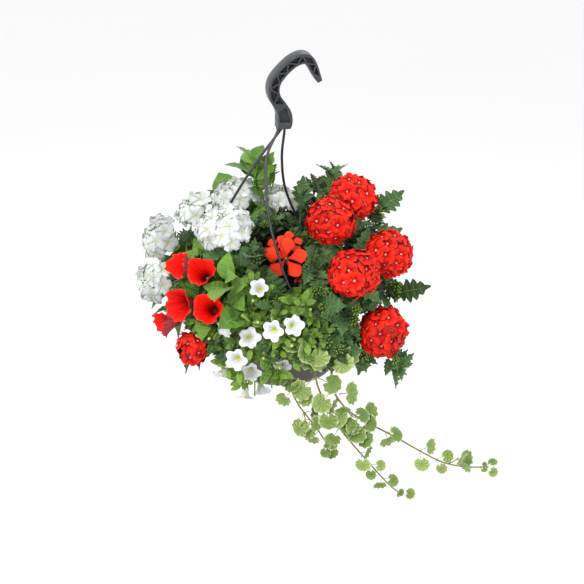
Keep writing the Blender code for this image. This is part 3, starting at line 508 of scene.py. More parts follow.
class Growth(Plan):
    """A geometry tree with named inputs, which ends in real geometry with its materials set."""

    def __init__(self, name, inputs):
        super().__init__(bpy.data.node_groups.new(name, "GeometryNodeTree"))
        face = self.tree.interface
        face.new_socket("Geometry", in_out="OUTPUT", socket_type="NodeSocketGeometry")
        inputs = {"Geometry": "Geometry", **inputs}
        for label, kind in inputs.items():
            face.new_socket(label, in_out="INPUT", socket_type="NodeSocket" + kind)
        source = self.tree.nodes.new("NodeGroupInput")
        self.given = {label: Wire(self, source.outputs[label]) for label in inputs}

    def random(self, low, high, seed):
        """A number for each point, between two values."""
        sockets = {2: low, 3: high, "Seed": seed}
        return self.add("FunctionNodeRandomValue", {"data_type": "FLOAT"}, sockets, 1)

    def random_turn(self, low, high, seed):
        """A rotation for each point, with its three angles between two vectors."""
        sockets = {0: low, 1: high, "Seed": seed}
        turn = self.add("FunctionNodeRandomValue", {"data_type": "FLOAT_VECTOR"}, sockets)
        return self.add("FunctionNodeEulerToRotation", None, {0: turn})

    def carried(self, name):
        """The vector that each point carries under a name."""
        return self.add("GeometryNodeInputNamedAttribute", {"data_type": "FLOAT_VECTOR"}, {0: name})

    def upright(self, way):
        """The rotation that stands a shape along a direction."""
        return self.add("FunctionNodeAlignRotationToVector", {"axis": "Z"}, {"Vector": way})

    def shape(self, label):
        """The geometry of the object that an input names."""
        return self.add("GeometryNodeObjectInfo", None, {"Object": self.given[label]}, 4)

    def copies(self, points, shape, rotation, scale, others=None):
        sockets = {"Points": points, "Instance": shape, "Rotation": rotation, "Scale": scale}
        return self.add("GeometryNodeInstanceOnPoints", None, {**sockets, **(others or {})})

    def toned(self, copies, seed):
        """The copies, each with a shade of its own for its material."""
        sockets = {"Geometry": copies, "Name": "shade", "Value": self.random(0.0, 1.0, seed)}
        return self.add("GeometryNodeStoreNamedAttribute", {"domain": "INSTANCE"}, sockets)

    def end(self, parts):
        """Ends the tree with the parts, which are named by the inputs that give their materials."""
        join = self.tree.nodes.new("GeometryNodeJoinGeometry")
        for label, part in parts.items():
            real = self.add("GeometryNodeRealizeInstances", None, {0: part})
            dressed = self.add("GeometryNodeSetMaterial", None, {0: real, 2: self.given[label]})
            self.tree.links.new(dressed.socket, join.inputs[0])
        sink = self.tree.nodes.new("NodeGroupOutput")
        self.feed(sink, {"Geometry": Wire(self, join.outputs[0])})
        return self.tree


def grown(name, mesh, tree, values):
    """The plain mesh that the tree makes from the mesh, with its inputs set by identifier."""
    obj = linked(name, mesh)
    modifier = obj.modifiers.new("grow", "NODES")
    modifier.node_group = tree
    for item in tree.interface.items_tree:
        if item.in_out == "INPUT" and item.name in values:
            modifier[item.identifier] = values[item.name]
    made = evaluated_mesh(obj)
    made.name = name
    bpy.data.objects.remove(obj, do_unlink=True)
    return made


def scatter_tree():
    """Scatters a small shape over the upward faces of a mesh."""
    inputs = {"Grain": "Object", "Density": "Float", "Size": "Float", "Seed": "Int"}
    plan = Growth("scattered_grains", {**inputs, "Surface": "Material"})
    given = plan.given
    up = plan.add("ShaderNodeSeparateXYZ", None, {0: plan.add("GeometryNodeInputNormal")}, 2)
    spread = {"Mesh": given["Geometry"], "Selection": up.maths("GREATER_THAN", up, 0.6)}
    spread.update({"Density": given["Density"], "Seed": given["Seed"]})
    points = plan.add("GeometryNodeDistributePointsOnFaces", None, spread)
    turn = plan.random_turn((0.0, 0.0, 0.0), (6.28, 6.28, 6.28), given["Seed"])
    size = plan.random(0.35, 1.0, 7) * given["Size"]
    grains = plan.copies(points, plan.shape("Grain"), turn, size)
    return plan.end({"Surface": plan.toned(grains, 5)})


def crumb_mesh():
    """A rough lump about one across."""
    bm = bmesh.new()
    bmesh.ops.create_icosphere(bm, subdivisions=1, radius=0.5)
    rng = random.Random(8)
    for vert in bm.verts:
        vert.co *= rng.uniform(0.65, 1.25)
        vert.co.z *= 0.7
    return mesh_of(bm, "crumb")


soil = piece("soil_fill", soil_mesh(), [soil_surface()], "potting_soil", "soil")
soil.data.shade_smooth()
crumb = bpy.data.objects.new("crumb", crumb_mesh())
area = math.pi * soil_radius(-SOIL_DROP) ** 2
settings = {"Grain": crumb, "Density": CRUMBS / area, "Size": CRUMB_SIZE, "Seed": 4}
settings["Surface"] = crumb_surface()
loose = soil.data.copy()
piece("soil_crumbs", grown("soil_crumbs", loose, scatter_tree(), settings), [], "potting_soil")


# Hanger
# One moulding of dark slate plastic: an open hook with a rail round its edge, a thin inner web and a
# zigzag of ribs on both faces, and three thin round strands that end in barbs under the pot's flange.

HOOK_DEPTH = 0.019
RAIL = 0.0015
RIB = 0.0016
WEB = 0.004
FOOT_Z = -0.0772
# The pocket in the foot is between these shares of the hook's length
FOOT_POCKET = (0.815, 0.945)
HOOK_SAMPLES = 79
HOOK_STEPS = 100
HOOK_TURN = math.radians(13.0)
TRUSS_BAYS = 12
TRUSS_START = 0.03
TRUSS_END = 0.80
EDGE_ROUND = 0.00045
STRAND_RADIUS = 0.0016
STRAND_SIDES = 14
STRAND_POINTS = 61
# A strand is thicker in the hook's foot: (height over its route's first point, share of its radius)
STRAND_ROOT = [(0.0043, 1.5), (0.0020, 1.15)]
STRAND_START = 0.004
BARB_RADIUS = 0.0040
BARB_LENGTH = 0.006
# The hook's middle line as (x, z, half width), from its open end round to its foot
HOOK_LINE = [
    (0.0205, -0.0222, 0.0030),
    (0.0172, -0.0152, 0.0042),
    (0.0126, -0.0046, 0.0054),
    (0.0075, 0.0038, 0.0060),
    (-0.0003, 0.0062, 0.0060),
    (-0.0112, 0.0020, 0.0058),
    (-0.0232, -0.0082, 0.0058),
    (-0.0321, -0.0197, 0.0062),
    (-0.0345, -0.0303, 0.0066),
    (-0.0323, -0.0401, 0.0068),
    (-0.0262, -0.0496, 0.0072),
    (-0.0216, -0.0598, 0.0083),
    (-0.0212, -0.0698, 0.0087),
    (-0.0228, FOOT_Z, 0.0073),
]
# Points that each strand hangs through, from the rim's middle
STRAND_ROUTES = {
    "front": [
        (-0.0035, -0.006, 0.194),
        (-0.0175, -0.023, 0.155),
        (-0.0140, -0.052, 0.097),
        (0.0030, -0.081, 0.040),
        (0.0170, -0.094, 0.012),
    ],
    "right": [
        (0.0045, 0.001, 0.194),
        (0.0010, 0.019, 0.145),
        (0.0060, 0.036, 0.097),
        (0.0260, 0.052, 0.048),
        (0.0640, 0.063, 0.013),
    ],
    "left": [
        (0.0006, 0.001, 0.194),
        (-0.0280, -0.001, 0.149),
        (-0.0560, -0.001, 0.104),
        (-0.0780, 0.011, 0.058),
        (-0.0900, 0.029, 0.013),
    ],
}


def smooth_path(corners, count):
    """Evenly spaced points on a smooth curve through the corners."""
    ends = [2 * corners[0] - corners[1], *corners, 2 * corners[-1] - corners[-2]]
    fine = []
    for a, b, c, d in zip(ends, ends[1:], ends[2:], ends[3:]):
        for i in range(16):
            t = i / 16
            bend = (2 * a - 5 * b + 4 * c - d) * t * t + (3 * b - a - 3 * c + d) * t**3
            fine.append(0.5 * (2 * b + (c - a) * t + bend))
    fine.append(corners[-1])
    lengths = [0.0]
    for a, b in zip(fine, fine[1:]):
        lengths.append(lengths[-1] + (b - a).length)
    found = []
    at = 0
    for i in range(count):
        wanted = lengths[-1] * i / (count - 1)
        while at < len(fine) - 2 and lengths[at + 1] < wanted:
            at += 1
        share = (wanted - lengths[at]) / max(lengths[at + 1] - lengths[at], 1e-9)
        found.append(fine[at].lerp(fine[at + 1], min(max(share, 0.0), 1.0)))
    return found


def hook_frame(share):
    """The hook's middle point, sideways direction and half width at a share of its length."""
    line = smooth_path([Vector(point) for point in HOOK_LINE], HOOK_STEPS + 1)
    at = min(int(share * HOOK_STEPS), HOOK_STEPS - 1)
    place = line[at].lerp(line[at + 1], share * HOOK_STEPS - at)
    along = Vector((line[at + 1].x - line[at].x, line[at + 1].y - line[at].y)).normalized()
    return Vector((place.x, place.y)), Vector((-along.y, along.x)), place.z


def flat_prism(outline, low, high):
    """The outline in the XZ plane, as a solid between two depths."""
    bm = bmesh.new()
    face = bm.faces.new([bm.verts.new((x, low, z)) for x, z in outline])
    made = bmesh.ops.extrude_face_region(bm, geom=[face])
    moved = [v for v in made["geom"] if isinstance(v, bmesh.types.BMVert)]
    bmesh.ops.translate(bm, verts=moved, vec=(0.0, high - low, 0.0))
    return mesh_of(bm, "prism")


def inset(corners, gap):
    """An outline with its sides moved in by the gap."""
    area = sum(corners[k - 1].cross(corner) for k, corner in enumerate(corners))
    found = []
    for k, corner in enumerate(corners):
        before = (corners[k - 1] - corner).normalized()
        after = (corners[(k + 1) % len(corners)] - corner).normalized()
        along = (after - before).normalized() * math.copysign(1.0, area)
        found.append(corner + Vector((-along.y, along.x)) * gap / math.sin(before.angle(after) / 2))
    return found


def truss_pockets():
    """The outlines of the pockets between the ribs, and of the plain one in the foot."""
    rails = []
    for k in range(TRUSS_BAYS + 2):
        share = TRUSS_START + (TRUSS_END - TRUSS_START) * k / (TRUSS_BAYS + 1)
        place, side, half = hook_frame(share)
        offset = side * (half - RAIL)
        rails.append((place - offset, place + offset))
    pockets = []
    for k in range(TRUSS_BAYS):
        near, far = k % 2, 1 - k % 2
        pockets.append([rails[k][near], rails[k + 1][near], rails[k + 2][near], rails[k + 1][far]])
    foot = []
    for share, sides in zip(FOOT_POCKET, ((1, -1), (-1, 1))):
        place, side, half = hook_frame(share)
        foot += [place + side * (half - RAIL) * way for way in sides]
    return [inset(corners, RIB / 2) for corners in [*pockets, foot]]


def hook_mesh():
    """The hook's flat outline given depth, with its pockets cut from both faces and its edges rounded."""
    frames = [hook_frame(i / (HOOK_SAMPLES - 1)) for i in range(HOOK_SAMPLES)]
    frames[-1] = (frames[-1][0], Vector((1.0, 0.0)), frames[-1][2])
    outer = [place + side * half for place, side, half in frames]
    inner = [place - side * half for place, side, half in frames]
    mesh = flat_prism([*outer, *reversed(inner)], -HOOK_DEPTH / 2, HOOK_DEPTH / 2)
    cutters = []
    for outline in truss_pockets():
        for low, high in ((-HOOK_DEPTH, -WEB / 2), (WEB / 2, HOOK_DEPTH)):
            cutters.append(bpy.data.objects.new("pocket", flat_prism(outline, low, high)))
    bevel = {"width": EDGE_ROUND, "segments": 2, "limit_method": "ANGLE"}
    bevel["angle_limit"] = math.radians(40)
    mesh = changed(cut_away(mesh, cutters), "BEVEL", bevel)
    return sharpened(mesh, 50.0, Matrix.Rotation(HOOK_TURN, 4, "Z"))


def skeleton(lines):
    """Lines of (point, radius) as a mesh of loose edges, with the radii in an attribute."""
    points, edges, radii = [], [], []
    for line in lines:
        for i, (point, radius) in enumerate(line):
            if i:
                edges.append((len(points) - 1, len(points)))
            points.append(point)
            radii.append(radius)
    mesh = bpy.data.meshes.new("skeleton")
    mesh.from_pydata(points, edges, [])
    attribute = mesh.attributes.new("thickness", "FLOAT", "POINT")
    attribute.data.foreach_set("value", radii)
    return mesh


def tubes_from(plan, lines, sides):
    """Round tubes along a mesh of loose edges, as thick as their points say."""
    curve = plan.add("GeometryNodeMeshToCurve", None, {0: lines})
    circle = {"Resolution": sides, "Radius": 1.0}
    thickness = plan.add("GeometryNodeInputNamedAttribute", None, {"Name": "thickness"})
    sweep = {
        "Curve": curve,
        "Profile Curve": plan.add("GeometryNodeCurvePrimitiveCircle", None, circle),
        "Scale": thickness,
        "Fill Caps": True,
    }
    return plan.add("GeometryNodeCurveToMesh", None, sweep)


def strand_tree():
    plan = Growth("moulded_strand", {"Sides": "Int", "Surface": "Material"})
    return plan.end({"Surface": tubes_from(plan, plan.given["Geometry"], plan.given["Sides"])})


def strand_line(name, k):
    """The strand from the hook's foot to its hole in the rim, where a barb holds it under the flange."""
    x, y = strand_seat(k)
    route = [RIM + Vector(point) for point in STRAND_ROUTES[name]]
    route[0].z = FOOT_Z - PIECE_GAP - STRAND_START
    under = RIM.z - RIM_THICKNESS - PIECE_GAP
    path = smooth_path([*route, Vector((x, y, RIM.z + 0.004))], STRAND_POINTS)
    line = [(route[0] + Vector((0, 0, up)), STRAND_RADIUS * share) for up, share in STRAND_ROOT]
    line += [(point, STRAND_RADIUS) for point in path]
    barb = [
        (0.0002, STRAND_RADIUS),
        (0.0, BARB_RADIUS),
        (-BARB_LENGTH * 0.5, BARB_RADIUS * 0.72),
        (-BARB_LENGTH, STRAND_RADIUS * 0.7),
    ]
    return line + [(Vector((x, y, under + up)), radius) for up, radius in barb]


piece("hook_moulding", hook_mesh(), [plastic], "dark_plastic", "hanger_hook")
tree = strand_tree()
settings = {"Sides": STRAND_SIDES, "Surface": plastic}
for k, name in enumerate(STRAND_ROUTES):
    mesh = grown("strand_" + name, skeleton([strand_line(name, k)]), tree, settings)
    piece("strand_" + name, sharpened(mesh, 50.0), [], "dark_plastic", "hanger_strand_" + name)


# Leafy stems
# Each plant stands in its own hole in the soil and forks under its leaves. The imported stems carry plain
# leaves: their branches and leaves are found here, and fine ones are grown in the same places, with
# short side shoots between them that leave the blooms and strands open to view.

TO_VIEW = Vector((0.0, -0.914, 0.407))
POT_CLEARANCE = 0.003
# Blooms from here back face away, and leaves may stand in front of them
BACK_ROW = 0.09
# How much of a bloom's ball is kept open to view, as shares of its radius: all round, and below
FACE_SHARE = 0.86
CHIN_SHARE = 0.4
# Leaves keep this far from a strand as it is seen from the front, from a little behind it
STRAND_ROOM = 0.0065
STRAND_BEHIND = 0.004
# A packed branch ends this near to the place that its bloom or tip gives
END_REACH = 0.004
# How far a packed leaf may reach into a bloom's ball before it is left out
OVERLAP = 0.004
# Packed leaves that are shorter or narrower than this are left out
SHORTEST_LEAF = 0.008
NARROWEST_LEAF = 0.003
# A leaf's thickness as a share of its length, and its roughness
LEAF_THICKNESS = 0.007
LEAF_ROUGHNESS = 0.46
STEM_SIDES = 7
SHOOT_TRIES = 8
FORK_HEIGHT = 0.004
# A packed stem's points this near to its fork, across it and above it, belong to no one branch
FORK_REACH = 0.004
FORK_TOP = 0.003
ROOT_DEPTH = 0.033
STEM_WIDTH = 0.0042
LEAF_CLEARANCE = 0.005
BRANCH_STEP = 0.0035
BOX_MARGIN = 0.006
ROOT_RADIUS = 0.0019
BRANCH_RADIUS = 0.0015
TIP_RADIUS = 0.0009


def welded(node):
    """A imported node's points, and which of them its edges join, once its loose triangles are one skin."""
    bm = bmesh.new()
    bm.from_mesh(frame["nodes"][node].data)
    bmesh.ops.remove_doubles(bm, verts=bm.verts, dist=0.000002)
    bm.verts.index_update()
    points = [vert.co.copy() for vert in bm.verts]
    joined = [[edge.other_vert(vert).index for edge in vert.link_edges] for vert in bm.verts]
    bm.free()
    return points, joined


def ways_from(points, joined, start):
    """For every point, the one before it on the shortest way along the edges from the start."""
    before = {start: None}
    far = {start: 0.0}
    queue = [(0.0, start)]
    while queue:
        distance, at = heapq.heappop(queue)
        if distance > far[at]:
            continue
        for other in joined[at]:
            longer = distance + (points[other] - points[at]).length
            if longer < far.get(other, 1e9):
                far[other] = longer
                before[other] = at
                heapq.heappush(queue, (longer, other))
    return before


def nearest_point(points, indices, place):
    return min(indices, key=lambda i: (points[i] - place).length_squared)


def branch_chain(points, before, end):
    """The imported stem's own points from its root to the place where a branch ends."""
    at = nearest_point(points, before, end)
    chain = []
    while at is not None:
        chain.append(points[at])
        at = before[at]
    return chain[::-1]


def branch_line(corners):
    """A smooth line through the corners, in steps of about one length."""
    length = sum((b - a).length for a, b in zip(corners, corners[1:]))
    return smooth_path(corners, max(6, round(length / BRANCH_STEP)))


def middle_line(points, chain, fork, end):
    """The middle of the branch along a chain of points on its skin, from the fork to its end."""
    line = [fork]
    for corner in chain:
        if corner.z < fork.z + FORK_TOP and (corner - fork).xy.length < FORK_REACH:
            continue
        near = [point for point in points if (point - corner).length < STEM_WIDTH]
        middle = sum(near, Vector()) / len(near)
        if (middle - line[-1]).length > STEM_WIDTH and (middle - end).length > STEM_WIDTH:
            line.append(middle)
    return branch_line([*line, end])


def distance_to(point, lines):
    """How far a point is from the nearest of some lines."""
    best = 1e9
    for line in lines:
        for a, b in zip(line, line[1:]):
            along = b - a
            share = (point - a).dot(along) / max(along.length_squared, 1e-12)
            best = min(best, (a + along * min(max(share, 0.0), 1.0) - point).length)
    return best


def leaf_groups(points, joined, chains):
    """The points of each packed leaf, with those of the stem that it is joined to."""
    leafy = {i for i, point in enumerate(points) if distance_to(point, chains) > LEAF_CLEARANCE}
    waiting = set(leafy)
    for start in sorted(leafy):
        if start not in waiting:
            continue
        waiting.discard(start)
        group = [start]
        foot = set()
        for at in group:
            for other in joined[at]:
                if other in waiting:
                    waiting.discard(other)
                    group.append(other)
                elif other not in leafy:
                    foot.add(other)
        if foot:
            yield [points[i] for i in group], [points[i] for i in sorted(foot)]


def leaf_site(group, foot, light):
    """Where a packed leaf stands: its foot, the way it runs, its upper side, and its size."""
    root = sum(foot, Vector()) / len(foot)
    tip = max(group, key=lambda point: (point - root).length_squared)
    along = (tip - root).normalized()
    one = along.orthogonal().normalized()
    two = along.cross(one)
    spread = [((point - root).dot(one), (point - root).dot(two)) for point in group]
    a = sum(x * x for x, _ in spread)
    b = sum(y * y for _, y in spread)
    c = sum(x * y for x, y in spread)
    angle = 0.5 * math.atan2(2 * c, a - b)
    side = one * math.cos(angle) + two * math.sin(angle)
    up = along.cross(side)
    if up.dot((root - RIM).normalized() * 0.7 + light) < 0:
        up = -up
    width = 2 * max(abs((point - root).dot(side)) for point in group)
    return root, along, up, (tip - root).length, width


def bloom_balls():
    """A ball round each bloom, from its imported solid: (middle, radius)."""
    found = []
    for node in sorted(frame["nodes"]):
        if "_head_" in node or "_bloom" in node:
            low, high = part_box(node)
            found.append(((low + high) / 2, max(high - low) / 2))
    return found


def strand_beads():
    """Points down the strands that are kept open to view from the front."""
    found = []
    for k, name in enumerate(STRAND_ROUTES):
        found += [point for point, _ in strand_line(name, k)[6:58:2]]
    return found


balls = bloom_balls()
beads = strand_beads()


def clear(point, spare):
    """Whether a point misses the pot, blooms and strands, and hides neither a strand nor a bloom's face."""
    beside = (point - RIM).xy.length < RIM_RADIUS + POT_CLEARANCE
    if beside and -POT_HEIGHT < point.z - RIM.z < POT_CLEARANCE:
        return False
    for low, high, value in zip(*cad_box, point):
        if not low + BOX_MARGIN < value < high - BOX_MARGIN:
            return False
    for middle, radius in balls:
        away = point - middle
        if away.length < radius + spare:
            return False
        ahead = away.dot(TO_VIEW)
        across = away - TO_VIEW * ahead
        in_front = ahead > 0 and middle.y < RIM.y + BACK_ROW
        if in_front and across.z > -CHIN_SHARE * radius and across.length < FACE_SHARE * radius:
            return False
    for bead in beads:
        away = point - bead
        ahead = away.dot(TO_VIEW)
        if ahead > -STRAND_BEHIND and (away - TO_VIEW * ahead).length < STRAND_ROOM:
            return False
    return True


def hides(site):
    """Whether a leaf lies over a bloom or a strand, as seen from the front."""
    root, along, _, length, _ = site
    tests = [root + along * length * share for share in (0.6, 0.8, 0.95)]
    return any(not clear(point, -OVERLAP) for point in tests)


def leaf_is_clear(site):
    """Whether a new leaf misses everything along its middle and at both of its sides."""
    root, along, up, length, width = site
    side = along.cross(up).normalized() * width * 0.4
    tests = [root + along * length * share for share in (0.35, 0.65, 1.0)]
    tests += [tests[1] + side, tests[1] - side]
    return all(clear(point, 0.0) for point in tests)


def away_from_pot(point):
    """The way out of the planting at a point: up and out over the soil, and level beside the pot."""
    away = point - RIM
    away.z = max(away.z, 0.0)
    return away.normalized()


def side_pair(tangent, outward, turn):
    """Two opposite directions square to the stem, turned about it."""
    side = tangent.cross(outward)
    if side.length < 0.1:
        side = tangent.orthogonal()
    side = Matrix.Rotation(turn, 3, tangent) @ side.normalized()
    return side, -side


def pairs_up(line, row, light, rng):
    """Leaf sites in opposite pairs up a line, each pair turned a quarter from the last."""
    count, start, first, last, shape = row
    found = []
    for k in range(count):
        share = start + (0.97 - start) * (k + 0.5) / count
        at = min(int(share * (len(line) - 1)), len(line) - 2)
        tangent = (line[at + 1] - line[max(at - 1, 0)]).normalized()
        outward = away_from_pot(line[at])
        length = first + (last - first) * k / max(count - 1, 1)
        turn = math.pi / 2 * k + rng.uniform(-0.35, 0.35)
        for way in side_pair(tangent, outward, turn):
            lean = rng.uniform(0.15, 0.45) + 0.8 * share**2
            along = (way + tangent * lean + outward * rng.uniform(0.2, 0.6)).normalized()
            up = (outward * 0.75 + light + tangent * 0.3).normalized()
            up = (up - along * up.dot(along)).normalized()
            size = length * rng.uniform(0.85, 1.15)
            site = (line[at] + way * 0.0006, along, up, size, size * shape)
            if leaf_is_clear(site):
                found.append(site)
    return found


def side_shoots(line, row, rng):
    """Short shoots up a branch that bow outwards and up, where they miss everything."""
    count, shortest, longest = row
    found = []
    for k in range(count):
        for _ in range(SHOOT_TRIES):
            share = 0.30 + 0.66 * (k + rng.uniform(0.1, 0.9)) / count
            at = min(int(share * (len(line) - 1)), len(line) - 2)
            root = line[at]
            tangent = (line[at + 1] - root).normalized()
            outward = away_from_pot(root)
            sway = Vector([rng.uniform(-0.8, 0.8) for _ in range(3)])
            way = (outward + tangent * 0.5 + sway).normalized()
            length = rng.uniform(shortest, longest)
            tip = root + way * length + Vector((0.0, 0.0, 0.25 * length))
            bend = root + way * length * 0.5
            if clear(tip, 0.003) and clear(bend, 0.002):
                found.append(smooth_path([root, bend, tip], 9))
                break
    return found


def tapered(line, first, last):
    """The line's points with radii that run evenly from the first to the last."""
    steps = len(line) - 1
    return [(point, first + (last - first) * i / steps) for i, point in enumerate(line)]


def add_sheet(bm, uv, rows, marks, drop):
    """A thin closed sheet: a top skin through rows of points, and one below it that shares its edge."""
    top = [[bm.verts.new(point) for point in row] for row in rows]
    last, end = len(rows) - 1, len(rows[0]) - 1
    under = []
    for i, row in enumerate(top):
        inner = [vert if i in (0, last) or j in (0, end) else None for j, vert in enumerate(row)]
        for j, vert in enumerate(inner):
            if vert is None:
                inner[j] = bm.verts.new(row[j].co - Vector((0.0, 0.0, drop)))
        under.append(inner)
    for i in range(last):
        for j in range(end):
            corners = ((i, j), (i + 1, j), (i + 1, j + 1), (i, j + 1))
            for skin in (top, under):
                face = bm.faces.new([skin[a][b] for a, b in corners])
                set_marks(face, uv, [marks[a][b] for a, b in corners], skin is under)


def add_disc(bm, uv, rings, mark, lower):
    """A thin closed disc or trumpet: rings from its middle out, and a skin below that shares its edge.

    mark gives the (u, v) of a ring's point, and lower the point under one."""
    count = len(rings[0])
    skins = []
    for shift in (False, True):
        skin = []
        for i, ring in enumerate(rings):
            if shift and i == len(rings) - 1:
                skin.append(skins[0][-1])
            else:
                skin.append([bm.verts.new(lower(i, p) if shift else p) for p in ring])
        skins.append(skin)
        middle = bm.verts.new(sum((vert.co for vert in skin[0]), Vector()) / count)
        for j in range(count):
            face = bm.faces.new([middle, skin[0][j], skin[0][(j + 1) % count]])
            set_marks(face, uv, [mark(0, j), mark(0, j), mark(0, j + 1)], shift)
        for i in range(len(rings) - 1):
            for j in range(count):
                places = [(i, j), (i + 1, j), (i + 1, j + 1), (i, j + 1)]
                face = bm.faces.new([skin[a][b % count] for a, b in places])
                set_marks(face, uv, [mark(*place) for place in places], shift)


def set_marks(face, uv, marks, back):
    """The marks of a face's corners; past 1 they run back from the edge, on the underside."""
    for loop, (u, v) in zip(face.loops, marks):
        loop[uv].uv = (u, 2.0 - v if back else v)


def add_tube(bm, uv, line, sides, first_mark, last_mark):
    """A thin tube through (point, radius) pairs, closed at both ends, its marks rising along it."""
    rings = []
    for i, (point, radius) in enumerate(line):
        ahead, behind = line[min(i + 1, len(line) - 1)][0], line[max(i - 1, 0)][0]
        along = (ahead - behind).normalized()
        basis = along.to_track_quat("Z", "Y").to_matrix()
        ring = []
        for j in range(sides):
            angle = math.tau * j / sides
            out = basis @ Vector((math.cos(angle), math.sin(angle), 0)) * radius
            ring.append(bm.verts.new(point + out))
        rings.append(ring)
    faces = [(rings[0][::-1], 0), (rings[-1], len(line) - 1)]
    for i in range(len(line) - 1):
        for j in range(sides):
            k = (j + 1) % sides
            faces.append(([rings[i][j], rings[i][k], rings[i + 1][k], rings[i + 1][j]], i))
    for corners, i in faces:
        face = bm.faces.new(corners)
        rise = first_mark + (last_mark - first_mark) * i / max(len(line) - 1, 1)
        for loop in face.loops:
            loop[uv].uv = (0.25, rise)


def template(name, draw):
    """A small shape to be repeated, drawn by a function on an empty bmesh and its marks."""
    bm = bmesh.new()
    uv = bm.loops.layers.uv.new("marks")
    draw(bm, uv)
    mark_sharp(bm, 62.0)
    return bpy.data.objects.new(name, mesh_of(bm, name))


def strip_leaf(name, edge, bend, columns=2):
    """A leaf one long and one wide, from rows of (rib, edge, half width share, vein).

    The bend is how far it droops, folds along its rib, twists and waves between its veins."""
    droop, fold, twist, wave = bend

    def draw(bm, uv):
        rows, marks = [], []
        for rib, out, half, vein in edge:
            row, row_marks = [], []
            for j in range(-columns, columns + 1):
                share = abs(j) / columns
                x = rib + (out - rib) * share**1.4
                y = half * 0.5 * j / columns
                z = fold * abs(y) - droop * x * x + twist * x * y
                z -= wave * math.cos(math.tau * vein) * share
                row.append(Vector((x, y, z)))
                row_marks.append((vein, 0.02 + 0.98 * share))
            rows.append(row)
            marks.append(row_marks)
        add_sheet(bm, uv, rows, marks, LEAF_THICKNESS)

    return template(name, draw)


def leaf_surface(name, deep, light, vein, under, margin=None, furrow_shade_and_relief=0.0):
    """A living leaf: a light rib and veins sunk in the top, a paler back, and a tone of its own.

    Furrows are darker lines between rounded ridges, as on a rough leaf: the darkening is painted shade in the
    furrows, and the ridges are bumped as well."""
    made, plan, shader = new_surface(name, {"IOR": 1.42, "Sheen Weight": 0.08})
    u, v = plan.marks()
    depth = 1.0 - abs(v - 1.0)
    line = abs(u.fraction() - 0.5)
    side_vein = (1.0 - line.rise(0.02, 0.13)) * (1.0 - depth.rise(0.55, 1.0))
    rib = 1.0 - depth.rise(0.03, 0.12)
    veins = side_vein.maths("MAXIMUM", side_vein * (1.0 - furrow_shade_and_relief), rib)
    ridge = abs((u * 2.0).fraction() - 0.5).rise(0.05, 0.42) * depth.rise(0.06, 0.2)
    where = plan.place()
    mottle = plan.noise(where, 90.0, 4.0)
    fine = plan.noise(where, 900.0, 3.0)
    tone = plan.mix((mottle * 0.7 + plan.shade() * 0.75 - 0.25).rise(0.0, 1.0), deep, light)
    # Painted shade: the furrows between the ridges are darkened towards a deep green.
    tone = plan.mix((1.0 - ridge) * furrow_shade_and_relief, tone, [c * 0.45 for c in deep])
    tone = plan.mix(veins * 0.62, tone, vein)
    if margin:
        edge = (depth + (mottle - 0.5) * 0.7).rise(0.72, 0.90)
        tone = plan.mix(edge * 0.85, tone, margin)
    tone = plan.mix(v.rise(1.0, 1.02) * 0.75, tone, under)
    plan.feed(shader, {"Base Color": tone})
    plan.feed(shader, {"Roughness": LEAF_ROUGHNESS + 0.22 * mottle - 0.06 * veins})
    relief = fine * 0.25 + line * 1.2 + ridge * furrow_shade_and_relief * 2.0 - veins
    plan.feed(shader, {"Normal": plan.bump(relief, 0.0006)})
    return made


def stem_surface(name, deep, light):
    """A green stem, ridged along its length and freckled darker."""
    made, plan, shader = new_surface(name, {"Roughness": 0.55, "IOR": 1.42})
    where = plan.place()
    freckle = plan.noise(where, 420.0, 4.0)
    plan.feed(shader, {"Base Color": plan.mix(freckle.rise(0.35, 0.68), deep, light)})
    plan.feed(shader, {"Normal": plan.bump(freckle, 0.0004)})
    return made


def foliage_tree():
    """Stems along a skeleton, and at each site a leaf picked from a collection, all as one mesh."""
    inputs = {"Sites": "Object", "Leaves": "Collection", "Kinds": "Int", "Sides": "Int", "Seed": "Int"}
    plan = Growth("leafy_stem", {**inputs, "Leaf": "Material", "Stem": "Material"})
    given = plan.given
    kinds = {"Collection": given["Leaves"], "Separate Children": True, "Reset Children": True}
    kinds = plan.add("GeometryNodeCollectionInfo", None, kinds)
    pick = {4: 0, 5: given["Kinds"] - 1, "Seed": given["Seed"]}
    pick = plan.add("FunctionNodeRandomValue", {"data_type": "INT"}, pick, 2)
    axes = {"primary_axis": "X", "secondary_axis": "Z"}
    ways = {0: plan.carried("along"), 1: plan.carried("up")}
    turn = plan.add("FunctionNodeAxesToRotation", axes, ways)
    choice = {"Pick Instance": True, "Instance Index": pick}
    leaves = plan.copies(plan.shape("Sites"), kinds, turn, plan.carried("size"), choice)
    stems = tubes_from(plan, given["Geometry"], given["Sides"])
    return plan.end({"Leaf": leaves, "Stem": stems})


def sites_object(sites, rng):
    """The leaf sites as loose points that carry each leaf's directions, size and tone."""
    mesh = bpy.data.meshes.new("leaf_sites")
    mesh.from_pydata([site[0] for site in sites], [], [])
    columns = {
        "along": [site[1] for site in sites],
        "up": [site[2] for site in sites],
        "size": [(site[3], site[4], (site[3] + site[4]) / 2) for site in sites],
    }
    for name, values in columns.items():
        attribute = mesh.attributes.new(name, "FLOAT_VECTOR", "POINT")
        attribute.data.foreach_set("vector", [number for value in values for number in value])
    shade = mesh.attributes.new("shade", "FLOAT", "POINT")
    shade.data.foreach_set("value", [rng.random() for _ in sites])
    return linked("leaf_sites", mesh)


